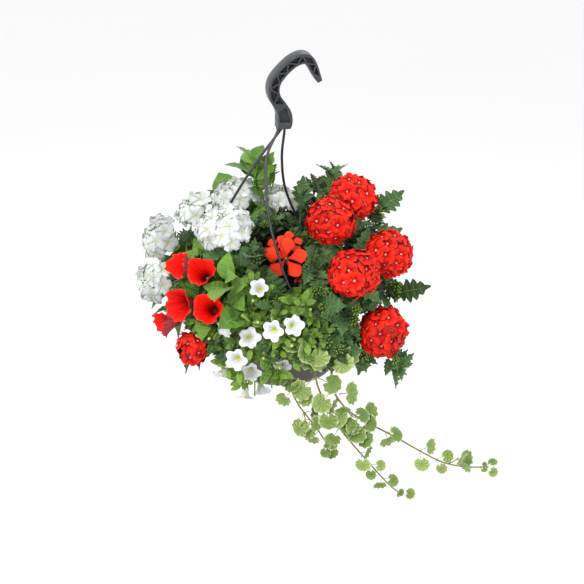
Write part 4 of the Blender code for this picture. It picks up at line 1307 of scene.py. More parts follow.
def stem_parts(node, root, ends):
    """A packed stem's ground and fork, the middle lines of its branches, and its leaves' points."""
    points, joined = welded(node)
    ground = RIM + Vector((root[0], root[1], -ROOT_DEPTH))
    fork = RIM + Vector((root[0], root[1], FORK_HEIGHT))
    everywhere = range(len(points))
    ends = [end for end in ends if (points[nearest_point(points, everywhere, end)] - end).length < END_REACH]
    before = ways_from(points, joined, nearest_point(points, everywhere, ground))
    chains = [branch_chain(points, before, end) for end in ends]
    lines = [middle_line(points, chain, fork, end) for chain, end in zip(chains, ends)]
    return ground, fork, lines, list(leaf_groups(points, joined, chains))


def clothe(lines, plant, rng):
    """Side shoots and leaves along branches: their bones, their leaf sites and the shoots' tips."""
    bones, sites, tips = [], [], []
    for line in lines:
        bones.append(tapered(line, BRANCH_RADIUS, TIP_RADIUS))
        sites += pairs_up(line, plant["between"], plant["light"], rng)
        if "at_tip" in plant:
            sites += pairs_up(line, plant["at_tip"], plant["light"], rng)
        for shoot in side_shoots(line, plant["shoots"], rng):
            bones.append(tapered(shoot, TIP_RADIUS, TIP_RADIUS * 0.6))
            sites += pairs_up(shoot, plant["on_shoots"], plant["light"], rng)
            tips.append((shoot[-1], (shoot[-1] - shoot[-3]).normalized()))
    return bones, sites, tips


def leafy_stem(node, root, ends, plant, rng):
    """Grows one packed stem anew, and returns the tips of its shoots, as (point, way)."""
    ground, fork, lines, groups = stem_parts(node, root, ends)
    packed = []
    for group, foot in groups:
        site = leaf_site(group, foot, plant["light"])
        if site[3] > SHORTEST_LEAF and site[4] > NARROWEST_LEAF and not hides(site):
            packed.append(site)
    bones, sites, tips = clothe(lines, plant, rng)
    bones.append(tapered([ground, fork], ROOT_RADIUS, ROOT_RADIUS))
    foliage_piece(node + "_foliage", bones, packed + sites, plant, rng, node)
    return tips


def extra_stems(name, routes, plant):
    """More stems of a plant from the soil, by routes from the rim's middle, all as one piece."""
    rng = random.Random(name)
    lines = [branch_line([RIM + Vector(point) for point in route]) for route in routes]
    bones, sites, tips = clothe(lines, plant, rng)
    foliage_piece(name, bones, sites, plant, rng)
    return tips


def foliage_piece(name, bones, sites, plant, rng, *nodes):
    """A plant's stems and leaves as one piece, grown from their bones and leaf sites."""
    anchor = sites_object(sites, rng)
    settings = {
        "Sites": anchor,
        "Leaves": plant["leaves"],
        "Kinds": len(plant["leaves"].objects),
        "Sides": STEM_SIDES,
        "Seed": len(sites),
        "Stem": plant["stem"],
        "Leaf": plant["leaf"],
    }
    mesh = grown(name, skeleton(bones), foliage, settings)
    bpy.data.objects.remove(anchor, do_unlink=True)
    piece(name, mesh, [], plant["slot"], *nodes)


foliage = foliage_tree()


# Verbena stems and leaves
# Garden verbena: wiry dark stems with opposite pairs of rough, deeply toothed dark green leaves, and tight
# clusters of long green buds on the shoots that have yet to flower.

# Each bloom: its middle from the rim's middle, the way that it faces, and its radius
RED_HEADS = [
    ((0.086, 0.004, 0.100), (0.20, -0.60, 0.85), 0.029),
    ((0.059, -0.066, 0.098), (0.00, -0.65, 0.80), 0.030),
    ((0.128, -0.062, 0.055), (0.30, -0.65, 0.75), 0.029),
    ((0.084, -0.118, 0.054), (0.10, -0.75, 0.70), 0.030),
    ((0.120, -0.095, -0.031), (0.45, -0.85, 0.30), 0.031),
    ((-0.104, -0.101, -0.050), (-0.50, -0.80, 0.00), 0.019),
    ((0.075, 0.105, 0.052), (0.30, 0.75, 0.60), 0.028),
]
WHITE_HEADS = [
    ((-0.066, -0.073, 0.091), (-0.15, -0.30, 0.95), 0.034),
    ((-0.058, 0.055, 0.083), (-0.20, -0.15, 0.95), 0.029),
    ((-0.106, -0.010, 0.090), (-0.50, -0.30, 0.80), 0.021),
    ((-0.146, -0.012, 0.055), (-0.80, -0.45, 0.50), 0.027),
    ((-0.152, -0.056, 0.017), (-0.75, -0.65, 0.25), 0.0246),
    ((-0.002, 0.067, 0.074), (0.10, -0.10, 0.95), 0.023),
    ((-0.020, 0.112, 0.030), (-0.10, 0.85, 0.50), 0.027),
]
# How far each kind's stem ends behind its bloom's middle: shares of its radius, and a length
SEAT_DEPTHS = {
    "red_verbena": (0.44, 0.0003),
    "white_verbena": (0.31, 0.0003),
    "petunia": (0.0, 0.0303),
    "calibrachoa": (0.0, 0.0153),
    "geranium": (0.0, 0.0153),
}
# Each stem: its root, the numbers of the blooms that it carries, and its free tips
RED_STEMS = [
    ((0.034, -0.008), [1, 2], [(0.056, 0.060, 0.082), (0.024, 0.036, 0.072)]),
    ((0.052, -0.020), [3], [(0.116, 0.018, 0.074), (0.136, -0.034, -0.010)]),
    ((0.040, -0.044), [4], [(0.050, -0.128, 0.016), (0.034, -0.094, 0.056), (0.052, -0.130, -0.026)]),
    ((0.062, -0.040), [5], [(0.070, -0.128, -0.050), (0.086, -0.122, 0.010), (0.104, -0.100, -0.062)]),
    ((-0.046, -0.052), [6], [(-0.104, -0.064, -0.066), (-0.070, -0.116, -0.038)]),
    ((0.048, 0.042), [7], [(0.118, 0.060, 0.014), (0.104, 0.072, -0.050)]),
]
WHITE_STEMS = [
    ((-0.026, -0.026), [1], [(-0.030, -0.100, 0.064), (-0.004, -0.126, 0.022)]),
    ((-0.022, 0.022), [2, 6], []),
    ((-0.052, 0.000), [3, 4, 5], []),
    ((-0.012, 0.050), [7], [(-0.070, 0.108, -0.034), (0.034, 0.118, 0.020)]),
]
# More verbena stems that fill the planting, from the soil out
VERBENA_FRONT = [
    [(0.060, -0.050, -0.014), (0.072, -0.072, 0.012), (0.086, -0.088, -0.010), (0.084, -0.092, -0.044)],
    [(0.052, -0.056, -0.014), (0.062, -0.082, 0.012), (0.068, -0.100, -0.004), (0.066, -0.106, -0.032)],
    [(0.066, -0.036, -0.014), (0.088, -0.052, 0.012), (0.104, -0.068, -0.014), (0.102, -0.072, -0.056)],
    [(0.028, -0.050, -0.010), (0.036, -0.070, 0.020), (0.044, -0.096, 0.026)],
    [(-0.064, -0.040, -0.014), (-0.082, -0.064, 0.008), (-0.094, -0.082, -0.014), (-0.090, -0.082, -0.050)],
    [(-0.040, -0.066, -0.014), (-0.054, -0.088, 0.010), (-0.062, -0.104, -0.008), (-0.060, -0.106, -0.040)],
    [(-0.010, -0.060, -0.014), (-0.010, -0.096, 0.012), (-0.010, -0.120, -0.012), (-0.009, -0.127, -0.044)],
    [(0.024, -0.058, -0.014), (0.024, -0.092, 0.010), (0.026, -0.120, -0.014), (0.027, -0.127, -0.054)],
    [(0.070, -0.060, -0.014), (0.096, -0.080, 0.000), (0.118, -0.090, -0.040), (0.136, -0.088, -0.092)],
]
VERBENA_BACK = [
    [(0.016, -0.020, -0.008), (0.024, -0.016, 0.026), (0.036, -0.022, 0.056)],
    [(0.022, 0.012, -0.008), (0.030, 0.018, 0.030), (0.040, 0.026, 0.070)],
    [(-0.008, 0.010, -0.008), (-0.010, 0.012, 0.030), (-0.016, 0.004, 0.062)],
    [(0.004, 0.028, -0.008), (0.012, 0.034, 0.030), (0.016, 0.036, 0.058)],
    [(0.030, 0.040, -0.010), (0.040, 0.056, 0.040), (0.040, 0.068, 0.098)],
    [(0.038, 0.030, -0.010), (0.058, 0.048, 0.044), (0.070, 0.074, 0.108)],
    [(-0.036, 0.000, -0.008), (-0.044, -0.010, 0.024), (-0.052, -0.020, 0.050)],
    [(0.056, 0.020, -0.012), (0.090, 0.030, 0.020), (0.112, 0.036, 0.040)],
    [(-0.024, 0.010, -0.008), (-0.030, 0.004, 0.034), (-0.036, -0.004, 0.060)],
    [(0.000, 0.020, -0.008), (-0.006, 0.016, 0.034), (-0.008, 0.010, 0.066)],
    [(0.014, 0.020, -0.008), (0.016, 0.020, 0.036), (0.012, 0.016, 0.064)],
    [(0.028, 0.046, -0.008), (0.024, 0.052, 0.036), (0.022, 0.052, 0.066)],
]
LEAF_LIGHT = Vector((0.0, -0.25, 0.50))
LEAF_KINDS = 4
# Half of a tooth: shares of its length at the rib and at the edge, how deep it is cut, and its vein
TOOTH = [(0.0, 0.10, 1.0, 0.0), (0.32, 0.66, 0.0, 0.5), (0.66, 0.95, 0.3, 0.8)]
BUDS_IN_CLUSTER = 20
BUD_LENGTH = 0.0078
# A bud's outline from its foot, as (height, radius)
BUD_OUTLINE = [(0.0, 0.05), (0.25, 0.10), (0.60, 0.11), (0.82, 0.16), (0.94, 0.12), (1.0, 0.03)]
CLUSTER_SPREAD = 1.15
GOLDEN_TURN = 2.39996
# One shoot in so many ends in buds
BUDDING_SHOOTS = 4


def named(kind, rows):
    """The rows by their nodes' names, which are numbered from 1."""
    return {f"{kind}_{k}": row for k, row in enumerate(rows, 1)}


def turn_to(facing):
    return Vector(facing).to_track_quat("Z", "Y").to_matrix()


def seat_of(bloom):
    """Where the stem that carries a bloom ends, behind it."""
    place, facing, radius = BLOOMS[bloom]
    share, length = next(depth for kind, depth in SEAT_DEPTHS.items() if bloom.startswith(kind))
    return RIM + Vector(place) - Vector(facing).normalized() * (radius * share + length)


def leaf_half(share, widest, fullness):
    """How wide a leaf is at a share of its length, 1 at its widest."""
    share = min(max(share, 0.001), 0.999)
    low = (share / widest) ** (fullness * widest)
    return low * ((1 - share) / (1 - widest)) ** (fullness * (1 - widest))


def edge_rows(teeth, stalk, cut, widest, fullness):
    """Rows up a leaf as (rib, edge, half width, vein), with forward teeth cut in by a share."""
    rows = [(0.0, 0.0, 0.05, 0.0), (stalk * 0.8, stalk * 0.8, 0.06, 0.0)]
    step = (1.0 - stalk) / teeth
    for k in range(teeth):
        for rib, out, deep, vein in TOOTH:
            half = leaf_half((k + out) / teeth, widest, fullness) * (1 - deep * cut)
            rows.append((stalk + step * (k + rib), stalk + step * (k + out), max(half, 0.05), k + vein))
    rows.append((0.99, 1.0, 0.03, teeth))
    return rows


def leaf_collection(name, kinds, draw):
    """A few forms of one leaf, which differ in how they droop, fold and twist, and all wave alike."""
    rng = random.Random(name)
    made = []
    for k in range(kinds):
        bend = (rng.uniform(0.10, 0.34), rng.uniform(-0.05, 0.40), rng.uniform(-0.30, 0.30), 0.016)
        made.append(draw(name + "_" + "abcd"[k], bend))
    return collection_of(name, made)


def grow_plants(kind, flower, rows, plant, seed):
    """Grows a kind's stems, and returns the tips of its free branches and of its side shoots."""
    free, shoots = [], []
    for name, (root, numbers, tips) in named(kind + "_stem", rows).items():
        ends = [seat_of(f"{kind}_{flower}_{k}") for k in numbers]
        ends += [RIM + Vector(tip) for tip in tips]
        shoots += leafy_stem(name, root, ends, plant, random.Random(name + str(seed)))
        free += [(end, (end - RIM).normalized()) for end in ends[len(numbers) :]]
    return free, shoots


def bud_mesh():
    """A long bud with a swollen tip, one long and one wide."""

    def draw(bm, uv):
        line = [(Vector((0.0, 0.0, height)), radius) for height, radius in BUD_OUTLINE]
        add_tube(bm, uv, line, 5, 0.0, 1.0)

    return template("bud", draw)


def bud_surface(name, base, tip):
    """Green buds that pale towards their tips, by their marks."""
    made, plan, shader = new_surface(name, {"Roughness": 0.5, "IOR": 1.42})
    _, rise = plan.marks()
    mottle = plan.noise(plan.place(), 500.0, 3.0)
    pale = (rise + mottle * 0.4 - 0.2).rise(0.55, 1.0)
    plan.feed(shader, {"Base Color": plan.mix(pale, base, tip)})
    plan.feed(shader, {"Normal": plan.bump(mottle, 0.0003)})
    return made


def cluster_tree():
    """A dome of buds at each site, which fan out from the way that the shoot points."""
    plan = Growth("bud_clusters", {"Bud": "Object", "Dome": "Object", "Surface": "Material"})
    fan, along = plan.upright(plan.carried("fan")), plan.upright(plan.carried("along"))
    buds = plan.copies(plan.shape("Dome"), plan.shape("Bud"), fan, plan.random(0.75, 1.1, 3))
    placed = plan.copies(plan.given["Geometry"], buds, along, plan.carried("size"))
    return plan.end({"Surface": placed})


def bud_dome(count, spread):
    """The feet of a cluster's buds, each with the way that its bud leans."""
    mesh = bpy.data.meshes.new("dome")
    places, ways = [], []
    for k in range(count):
        tilt = spread * math.sqrt((k + 0.5) / count)
        turn, out = k * GOLDEN_TURN, math.sin(tilt)
        way = Vector((out * math.cos(turn), out * math.sin(turn), math.cos(tilt)))
        places.append(way * Vector((0.22, 0.22, 0.30)))
        ways.append(way)
    mesh.from_pydata(places, [], [])
    fan = mesh.attributes.new("fan", "FLOAT_VECTOR", "POINT")
    fan.data.foreach_set("vector", [number for way in ways for number in way])
    return bpy.data.objects.new("dome", mesh)


def add_clusters(name, tips, count, size, surface, slot):
    """A piece of bud clusters at the tips of shoots."""
    rng = random.Random(name)
    sites = []
    for place, way in tips:
        if clear(place + way * size * 0.6, 0.0):
            grow = size * rng.uniform(0.8, 1.2)
            sites.append((place - way * 0.001, way, way.orthogonal(), grow, grow))
    points = sites_object(sites, rng)
    settings = {"Bud": bud_mesh(), "Dome": bud_dome(count, CLUSTER_SPREAD), "Surface": surface}
    mesh = grown(name, points.data.copy(), cluster_tree(), settings)
    mesh.shade_smooth()
    bpy.data.objects.remove(points, do_unlink=True)
    piece(name, mesh, [], slot)


def verbena_leaf(name, bend):
    edge = edge_rows(teeth=5, stalk=0.13, cut=0.44, widest=0.36, fullness=1.8)
    return strip_leaf(name, edge, bend)


BLOOMS = {**named("red_verbena_head", RED_HEADS), **named("white_verbena_head", WHITE_HEADS)}
# A row of leaves is how many pairs, where they start, the first and last length, and the width for a
# length. The shoots are how many to a branch, and the shortest and longest.
verbena = {
    "leaves": leaf_collection("verbena_leaf", LEAF_KINDS, verbena_leaf),
    "light": LEAF_LIGHT,
    "between": (4, 0.22, 0.033, 0.026, 0.64),
    "shoots": (4, 0.016, 0.032),
    "on_shoots": (3, 0.10, 0.028, 0.017, 0.62),
    "stem": stem_surface("verbena_stem", (0.030, 0.060, 0.012), (0.100, 0.170, 0.040)),
    "leaf": leaf_surface(
        "verbena_leaf",
        deep=(0.026, 0.074, 0.010),
        light=(0.118, 0.262, 0.068),
        vein=(0.165, 0.310, 0.105),
        under=(0.13, 0.20, 0.09),
        # The furrows are darkened with painted shade, and their ridges bumped.
        furrow_shade_and_relief=0.45,
    ),
    "slot": "verbena_green",
}
free, shoots = [], []
for kind, rows in (("red_verbena", RED_STEMS), ("white_verbena", WHITE_STEMS)):
    ends, tips = grow_plants(kind, "head", rows, verbena, 0)
    free += ends
    shoots += tips
shoots += extra_stems("verbena_front_shoots", VERBENA_FRONT, verbena)
shoots += extra_stems("verbena_back_shoots", VERBENA_BACK, verbena)
budding = bud_surface("verbena_buds", (0.080, 0.170, 0.025), (0.300, 0.340, 0.090))
tips = free + shoots[::BUDDING_SHOOTS]
add_clusters("verbena_buds", tips, BUDS_IN_CLUSTER, BUD_LENGTH, budding, "verbena_green")


# Petunia stems and leaves
# Petunia: soft, thick bright green stems and smooth oval leaves, a little folded along the midrib.

PETUNIA_BLOOMS = [
    ((-0.122, -0.104, 0.007), (-0.65, -0.75, 0.15), 0.021),
    ((-0.084, -0.130, 0.015), (-0.25, -0.80, 0.50), 0.019),
    ((-0.121, -0.084, 0.051), (-0.65, -0.50, 0.50), 0.0165),
    ((-0.092, -0.102, 0.050), (-0.20, -0.65, 0.70), 0.018),
    ((-0.146, -0.060, -0.040), (-0.85, -0.45, -0.10), 0.017),
    ((-0.080, 0.108, 0.026), (-0.50, 0.75, 0.45), 0.021),
]
PETUNIA_STEMS = [
    ((-0.060, -0.034), [1, 2], [(-0.062, -0.114, 0.034), (-0.046, -0.122, 0.004)]),
    ((-0.070, -0.010), [3, 4, 5], []),
    ((-0.044, 0.044), [6], [(-0.032, 0.070, 0.088), (-0.064, 0.088, 0.064), (-0.128, 0.040, -0.024)]),
]
# More stems that stand up at the top, with their leaves turned to the front
PETUNIA_TOP_LIGHT = Vector((0.0, -0.80, 0.45))
PETUNIA_TOP = [
    [(-0.044, 0.044, -0.010), (-0.040, 0.050, 0.060), (-0.030, 0.050, 0.124)],
    [(-0.044, 0.044, -0.010), (-0.056, 0.050, 0.050), (-0.058, 0.056, 0.104)],
    [(-0.044, 0.044, -0.010), (-0.022, 0.050, 0.060), (-0.008, 0.054, 0.108)],
]


def petunia_leaf(name, bend):
    edge = edge_rows(teeth=5, stalk=0.10, cut=0.0, widest=0.42, fullness=2.1)
    return strip_leaf(name, edge, bend)


BLOOMS |= named("petunia_bloom", PETUNIA_BLOOMS)
petunia = {
    "leaves": leaf_collection("petunia_leaf", LEAF_KINDS, petunia_leaf),
    "light": LEAF_LIGHT,
    "between": (4, 0.30, 0.044, 0.038, 0.62),
    "shoots": (3, 0.018, 0.036),
    "on_shoots": (3, 0.05, 0.040, 0.028, 0.62),
    "stem": stem_surface("petunia_stem", (0.080, 0.200, 0.020), (0.180, 0.340, 0.050)),
    "leaf": leaf_surface(
        "petunia_leaf",
        deep=(0.055, 0.150, 0.010),
        light=(0.165, 0.330, 0.035),
        vein=(0.230, 0.390, 0.080),
        under=(0.17, 0.30, 0.07),
    ),
    "slot": "bright_green",
}
grow_plants("petunia", "bloom", PETUNIA_STEMS, petunia, 1)
extra_stems("petunia_top_shoots", PETUNIA_TOP, dict(petunia, light=PETUNIA_TOP_LIGHT))


# Calibrachoa stems and leaves
# Calibrachoa: thin stems thick with small, narrow yellow-green leaves that curl back a little.

CALIBRACHOA_BLOOMS = [
    ((-0.036, -0.136, -0.020), (0.10, -0.90, 0.35), 0.0135),
    ((-0.052, -0.148, -0.043), (-0.25, -0.90, 0.20), 0.0135),
    ((-0.009, -0.152, -0.004), (-0.20, -0.90, 0.25), 0.0130),
    ((0.016, -0.146, 0.000), (0.25, -0.85, 0.35), 0.0130),
    ((-0.036, -0.124, -0.072), (-0.05, -0.95, -0.10), 0.0135),
    ((-0.066, -0.132, -0.012), (-0.60, -0.70, -0.20), 0.0110),
    ((-0.025, -0.128, 0.040), (-0.10, -0.75, 0.60), 0.0115),
    ((-0.023, -0.104, -0.108), (0.20, -0.65, -0.60), 0.0125),
    ((-0.044, -0.092, -0.122), (-0.10, -0.40, -0.90), 0.0110),
    ((-0.074, -0.088, -0.096), (-0.50, -0.60, -0.55), 0.0130),
    ((0.002, -0.122, -0.066), (0.15, -0.90, -0.25), 0.0120),
    ((0.030, 0.128, -0.010), (0.20, 0.90, 0.10), 0.0130),
]
CALIBRACHOA_STEMS = [
    ((-0.030, -0.064), [2, 6, 7, 10], []),
    ((-0.002, -0.060), [3, 4, 11], [(0.030, -0.142, -0.030), (0.020, -0.132, 0.022)]),
    ((-0.015, -0.072), [1, 5, 8, 9], []),
    ((0.018, 0.070), [12], [(0.056, 0.118, -0.034), (-0.010, 0.124, -0.050)]),
]
# Trails that hang over the rim: the angle round the pot from the front, how far down, and the drift
CALIBRACHOA_TRAILS = [
    (-38, -0.060, -0.006),
    (-30, -0.084, -0.002),
    (-22, -0.092, 0.004),
    (-15, -0.106, 0.000),
    (-7, -0.094, 0.004),
    (-3, -0.082, 0.002),
    (1, -0.064, 0.000),
    (9, -0.046, 0.004),
    (19, -0.074, 0.006),
]
# A trail's points: how far out from the pot's axis, how high, and the share of its drop and drift
TRAIL_POINTS = [
    (0.070, -0.014, 0.0),
    (0.092, 0.010, 0.0),
    (0.116, 0.0, 0.1),
    (0.118, 0.0, 0.6),
    (0.121, 0.0, 1.0),
]
# One shoot in so many ends in a pair of furled buds
FURLED_SHOOTS = 7
FURLED_BUDS = 2
FURLED_LENGTH = 0.0125


def calibrachoa_leaf(name, bend):
    edge = edge_rows(teeth=3, stalk=0.06, cut=0.0, widest=0.50, fullness=1.8)
    return strip_leaf(name, edge, bend, 1)


def trail(angle, low, drift):
    """A route from the soil over the rim and down beside the pot."""
    turn = math.radians(angle)
    way = Vector((math.sin(turn), -math.cos(turn), 0.0))
    return [way * out + Vector((drift * share, 0.0, up + low * share)) for out, up, share in TRAIL_POINTS]


BLOOMS |= named("calibrachoa_bloom", CALIBRACHOA_BLOOMS)
calibrachoa = {
    "leaves": leaf_collection("calibrachoa_leaf", LEAF_KINDS, calibrachoa_leaf),
    "light": LEAF_LIGHT,
    "between": (6, 0.12, 0.026, 0.021, 0.42),
    "shoots": (4, 0.016, 0.034),
    "on_shoots": (5, 0.02, 0.024, 0.016, 0.42),
    "stem": stem_surface("calibrachoa_stem", (0.080, 0.190, 0.020), (0.200, 0.340, 0.050)),
    "leaf": leaf_surface(
        "calibrachoa_leaf",
        deep=(0.055, 0.135, 0.012),
        light=(0.205, 0.355, 0.035),
        vein=(0.300, 0.450, 0.090),
        under=(0.20, 0.32, 0.07),
    ),
    "slot": "bright_green",
}
_, tips = grow_plants("calibrachoa", "bloom", CALIBRACHOA_STEMS, calibrachoa, 2)
trails = [trail(*row) for row in CALIBRACHOA_TRAILS]
tips = (tips + extra_stems("calibrachoa_trails", trails, calibrachoa))[::FURLED_SHOOTS]
furled = bud_surface("calibrachoa_buds", (0.220, 0.340, 0.050), (0.640, 0.660, 0.230))
add_clusters("calibrachoa_buds", tips, FURLED_BUDS, FURLED_LENGTH, furled, "bright_green")


# Geranium stem and leaves
# A young geranium among the others: a stout stem, and rounded, shallow-lobed leaves in a dull green.

GERANIUM_BLOOM = ((0.004, -0.048, 0.044), (0.00, -0.80, 0.60), 0.0165)
GERANIUM_ROOT = (0.006, -0.012)
GERANIUM_TIPS = [(0.034, -0.040, 0.062), (-0.030, -0.070, 0.048)]
# A round leaf with its stalk is one long: these are shares of that
LEAF_STALK = 0.26
STALK_RADIUS = 0.028
STALK_SAG = 0.02
ROUND_THICKNESS = 0.010
LEAF_RINGS = (0.18, 0.42, 0.68, 0.88, 1.0)
SCALLOP = 0.14
NOTCH_DEPTH = 0.60
NOTCH_REACH = 0.36


def round_leaf(name, bend, lobes, steps):
    """A round leaf on a stalk, with a scalloped edge and a notch where the stalk meets it."""
    droop, fold, twist, _ = bend
    reach = (1.0 - LEAF_STALK) / 2

    def place(share, turn):
        lobe = math.cos(lobes * turn)
        notch = max(0.0, 1.0 - abs(math.remainder(turn, math.tau)) / NOTCH_REACH) * NOTCH_DEPTH
        size = share * (1.0 - notch * share) * (1.0 - SCALLOP * share**4 * (0.5 + 0.5 * lobe) ** 1.5)
        x = -math.cos(turn) * reach * size
        y = math.sin(turn) * 0.5 * size
        z = 0.10 * share - 0.035 * share**2 * lobe - 0.35 * droop * share**3
        return Vector((LEAF_STALK + reach + x, y, z + fold * 0.5 * abs(y) + twist * x * y))

    def draw(bm, uv):
        rings = [[place(share, math.tau * j / steps) for j in range(steps)] for share in LEAF_RINGS]
        drop = Vector((0.0, 0.0, ROUND_THICKNESS))
        last = len(rings) - 1

        def mark(i, j):
            return lobes * j / steps + 0.5, 0.1 + 0.9 * i / last

        add_disc(bm, uv, rings, mark, lambda i, point: point - drop)
        line = [
            (Vector((0.0, 0.0, 0.0)), STALK_RADIUS),
            (Vector((LEAF_STALK * 0.5, 0.0, -STALK_SAG)), STALK_RADIUS),
            (Vector((LEAF_STALK + reach * 0.9, 0.0, -0.001)), STALK_RADIUS * 0.5),
        ]
        add_tube(bm, uv, line, 5, 1.2, 1.2)

    return template(name, draw)


def geranium_leaf(name, bend):
    return round_leaf(name, bend, lobes=7, steps=42)


BLOOMS["geranium_bloom"] = GERANIUM_BLOOM
geranium = {
    "leaves": leaf_collection("geranium_leaf", 2, geranium_leaf),
    "light": LEAF_LIGHT,
    "between": (2, 0.35, 0.034, 0.034, 0.80),
    "shoots": (0, 0.02, 0.03),
    "on_shoots": (0, 0.1, 0.02, 0.02, 0.8),
    "stem": stem_surface("geranium_stem", (0.060, 0.120, 0.020), (0.140, 0.210, 0.050)),
    "leaf": leaf_surface(
        "geranium_leaf",
        deep=(0.040, 0.095, 0.020),
        light=(0.095, 0.180, 0.050),
        vein=(0.160, 0.250, 0.100),
        under=(0.13, 0.20, 0.09),
    ),
    "slot": "verbena_green",
}
ends = [seat_of("geranium_bloom"), *(RIM + Vector(tip) for tip in GERANIUM_TIPS)]
leafy_stem("geranium_stem", GERANIUM_ROOT, ends, geranium, random.Random("geranium_stem3"))


# Ground ivy
# Variegated ground ivy: thin brownish runners that climb over the rim and hang down to the right, with
# pairs of round, scalloped leaves on long stalks, pale green with cream edges.

IVY_LIGHT = Vector((0.0, -0.75, 0.45))
# Each runner: its root and its tip
IVY_RUNNERS = [
    ((0.040, -0.060), (0.248, -0.147, -0.186)),
    ((0.024, -0.068), (0.148, -0.135, -0.232)),
    ((0.008, -0.073), (0.056, -0.118, -0.173)),
]


def ivy_leaf(name, bend):
    return round_leaf(name, bend, lobes=9, steps=45)


ivy = {
    "leaves": leaf_collection("ivy_leaf", LEAF_KINDS, ivy_leaf),
    "light": IVY_LIGHT,
    "between": (3, 0.16, 0.036, 0.022, 0.86),
    "at_tip": (2, 1.0, 0.017, 0.012, 0.86),
    "shoots": (2, 0.014, 0.026),
    "on_shoots": (1, 0.40, 0.026, 0.016, 0.86),
    "stem": stem_surface("ivy_runner", (0.110, 0.120, 0.030), (0.260, 0.240, 0.080)),
    "leaf": leaf_surface(
        "ivy_leaf",
        deep=(0.120, 0.215, 0.034),
        light=(0.300, 0.410, 0.110),
        vein=(0.320, 0.400, 0.170),
        under=(0.32, 0.39, 0.19),
        margin=(0.470, 0.540, 0.290),
    ),
    "slot": "variegated_green",
}
for name, (root, tip) in named("ivy_stem", IVY_RUNNERS).items():
    leafy_stem(name, root, [RIM + Vector(tip)], ivy, random.Random(name))


# Verbena heads
# Flat-topped domes of small tubular flowers, each with five notched petals that overlap, opening from the
# edge in, with buds left at the crown. Red ones are packed close, and white ones stand loose.

FLORET_RADIUS = 0.0106
# Half of a petal's width from its throat to its end, as shares of its length, and its thickness
PETAL_HALVES = (0.08, 0.17, 0.34, 0.51, 0.59, 0.42)
PETAL_THICKNESS = 0.03
# A floret's tube behind its petals, as (height, radius)
FLORET_TUBE = [(-0.03, 0.05), (-0.15, 0.13), (-0.80, 0.11), (-0.95, 0.19), (-1.75, 0.14), (-1.85, 0.05)]
# The numbers of florets and of crown buds are those of a head of this radius
HEAD_RADIUS = 0.030
BUD_SIZE = 0.0068
# Buds stand nearer the middle than florets, and the core fills this share of the head
BUD_REACH = 0.91
CORE_SHARE = 0.87
# A head's height for its width, its florets and buds, the highest and lowest florets on it, and the
# size of a floret and how far out its throat is
RED_FORM = {"flat": 0.88, "florets": 34, "buds": 9, "top": 0.950, "low": -0.50, "size": 1.16, "reach": 0.89}
WHITE_FORM = {"flat": 0.55, "florets": 15, "buds": 2, "top": 0.985, "low": -0.10, "size": 1.24, "reach": 0.92}


def add_petal(bm, uv, steps, place, thickness):
    """A thin petal; place gives its point at a share of its length and from side to side, -1 to 1."""
    rows = [[place(i / steps, j / 2) for j in range(-2, 3)] for i in range(steps + 1)]
    marks = [[(0.5 + 0.75 * j, i / steps) for j in range(-2, 3)] for i in range(steps + 1)]
    add_sheet(bm, uv, rows, marks, thickness)


def notched_petal(bm, uv, turn, form):
    """One petal from the throat out, two lobed at its end, with one side over its neighbour."""
    cut, dish, lap = form
    steps = len(PETAL_HALVES) - 1
    spin = Matrix.Rotation(turn, 3, "Z")

    def place(share, side):
        out = 0.03 + 0.97 * share - cut * share**4 * (1.0 - abs(side)) ** 1.5
        out -= 0.20 * share**3 * max(0.0, abs(side) - 0.5) * 2
        height = dish * math.sin(math.pi * share * 0.9) + lap * side * share - 0.10 * share**3
        height += 0.05 * share * abs(side)
        return spin @ Vector((out, PETAL_HALVES[round(share * steps)] * side, height))

    add_petal(bm, uv, steps, place, PETAL_THICKNESS)


def floret_mesh(name, form, seed):
    """A tubular flower one in radius, with its throat at the origin and its tube behind it."""
    rng = random.Random(seed)

    def draw(bm, uv):
        for k in range(5):
            notched_petal(bm, uv, math.tau * k / 5 + rng.uniform(-0.07, 0.07), form)
        tube = [(Vector((0, 0, height)), radius) for height, radius in FLORET_TUBE]
        add_tube(bm, uv, tube, 6, 2.05, 2.95)

    return template(name, draw)


def petal_surface(name, stops, vein, edge=0.0, painted_glow=0.0):
    """Soft petals coloured from throat to rim, then back and tube, with fine veins, their sides darkened with
    painted shade, and a painted glow in their own colour.
    """
    # The petals emit their own colour by the glow: painted light that lifts their shaded parts.
    fixed = {"IOR": 1.38, "Specular IOR Level": 0.25, "Emission Strength": painted_glow}
    made, plan, shader = new_surface(name, fixed)
    u, v = plan.marks()
    where = plan.place()
    mottle = plan.noise(where, 300.0, 3.0)
    out = (v + (mottle - 0.5) * 0.14) / 3.0
    tone = plan.add("ShaderNodeValToRGB", {"stops": stops}, {"Fac": out})
    line = 1.0 - abs((u * 3.0).fraction() - 0.5).rise(0.03, 0.30)
    petal = 1.0 - v.rise(1.9, 2.0)
    tone = plan.mix(line * petal * 0.40, tone, vein)
    own = (plan.shade() + (mottle - 0.5) * 0.5).rise(0.0, 1.0)
    dark = plan.mix(own, (0.70, 0.70, 0.70), (1.10, 1.10, 1.10))
    # Painted shade: by the edge share, each petal's sides darken towards black where petals meet and overlap.
    side = abs(u - 0.5).rise(0.95, 1.5) * petal * edge
    dark = plan.mix(side, dark, (0.0, 0.0, 0.0))
    tone = plan.mix(1.0, tone, dark, "MULTIPLY")
    plan.feed(shader, {"Base Color": tone, "Emission Color": tone})
    plan.feed(shader, {"Roughness": 0.52 + 0.16 * mottle})
    fine = plan.noise(where, 1400.0, 3.0)
    plan.feed(shader, {"Normal": plan.bump(line * 0.6 + fine * 0.5, 0.00025)})
    return made


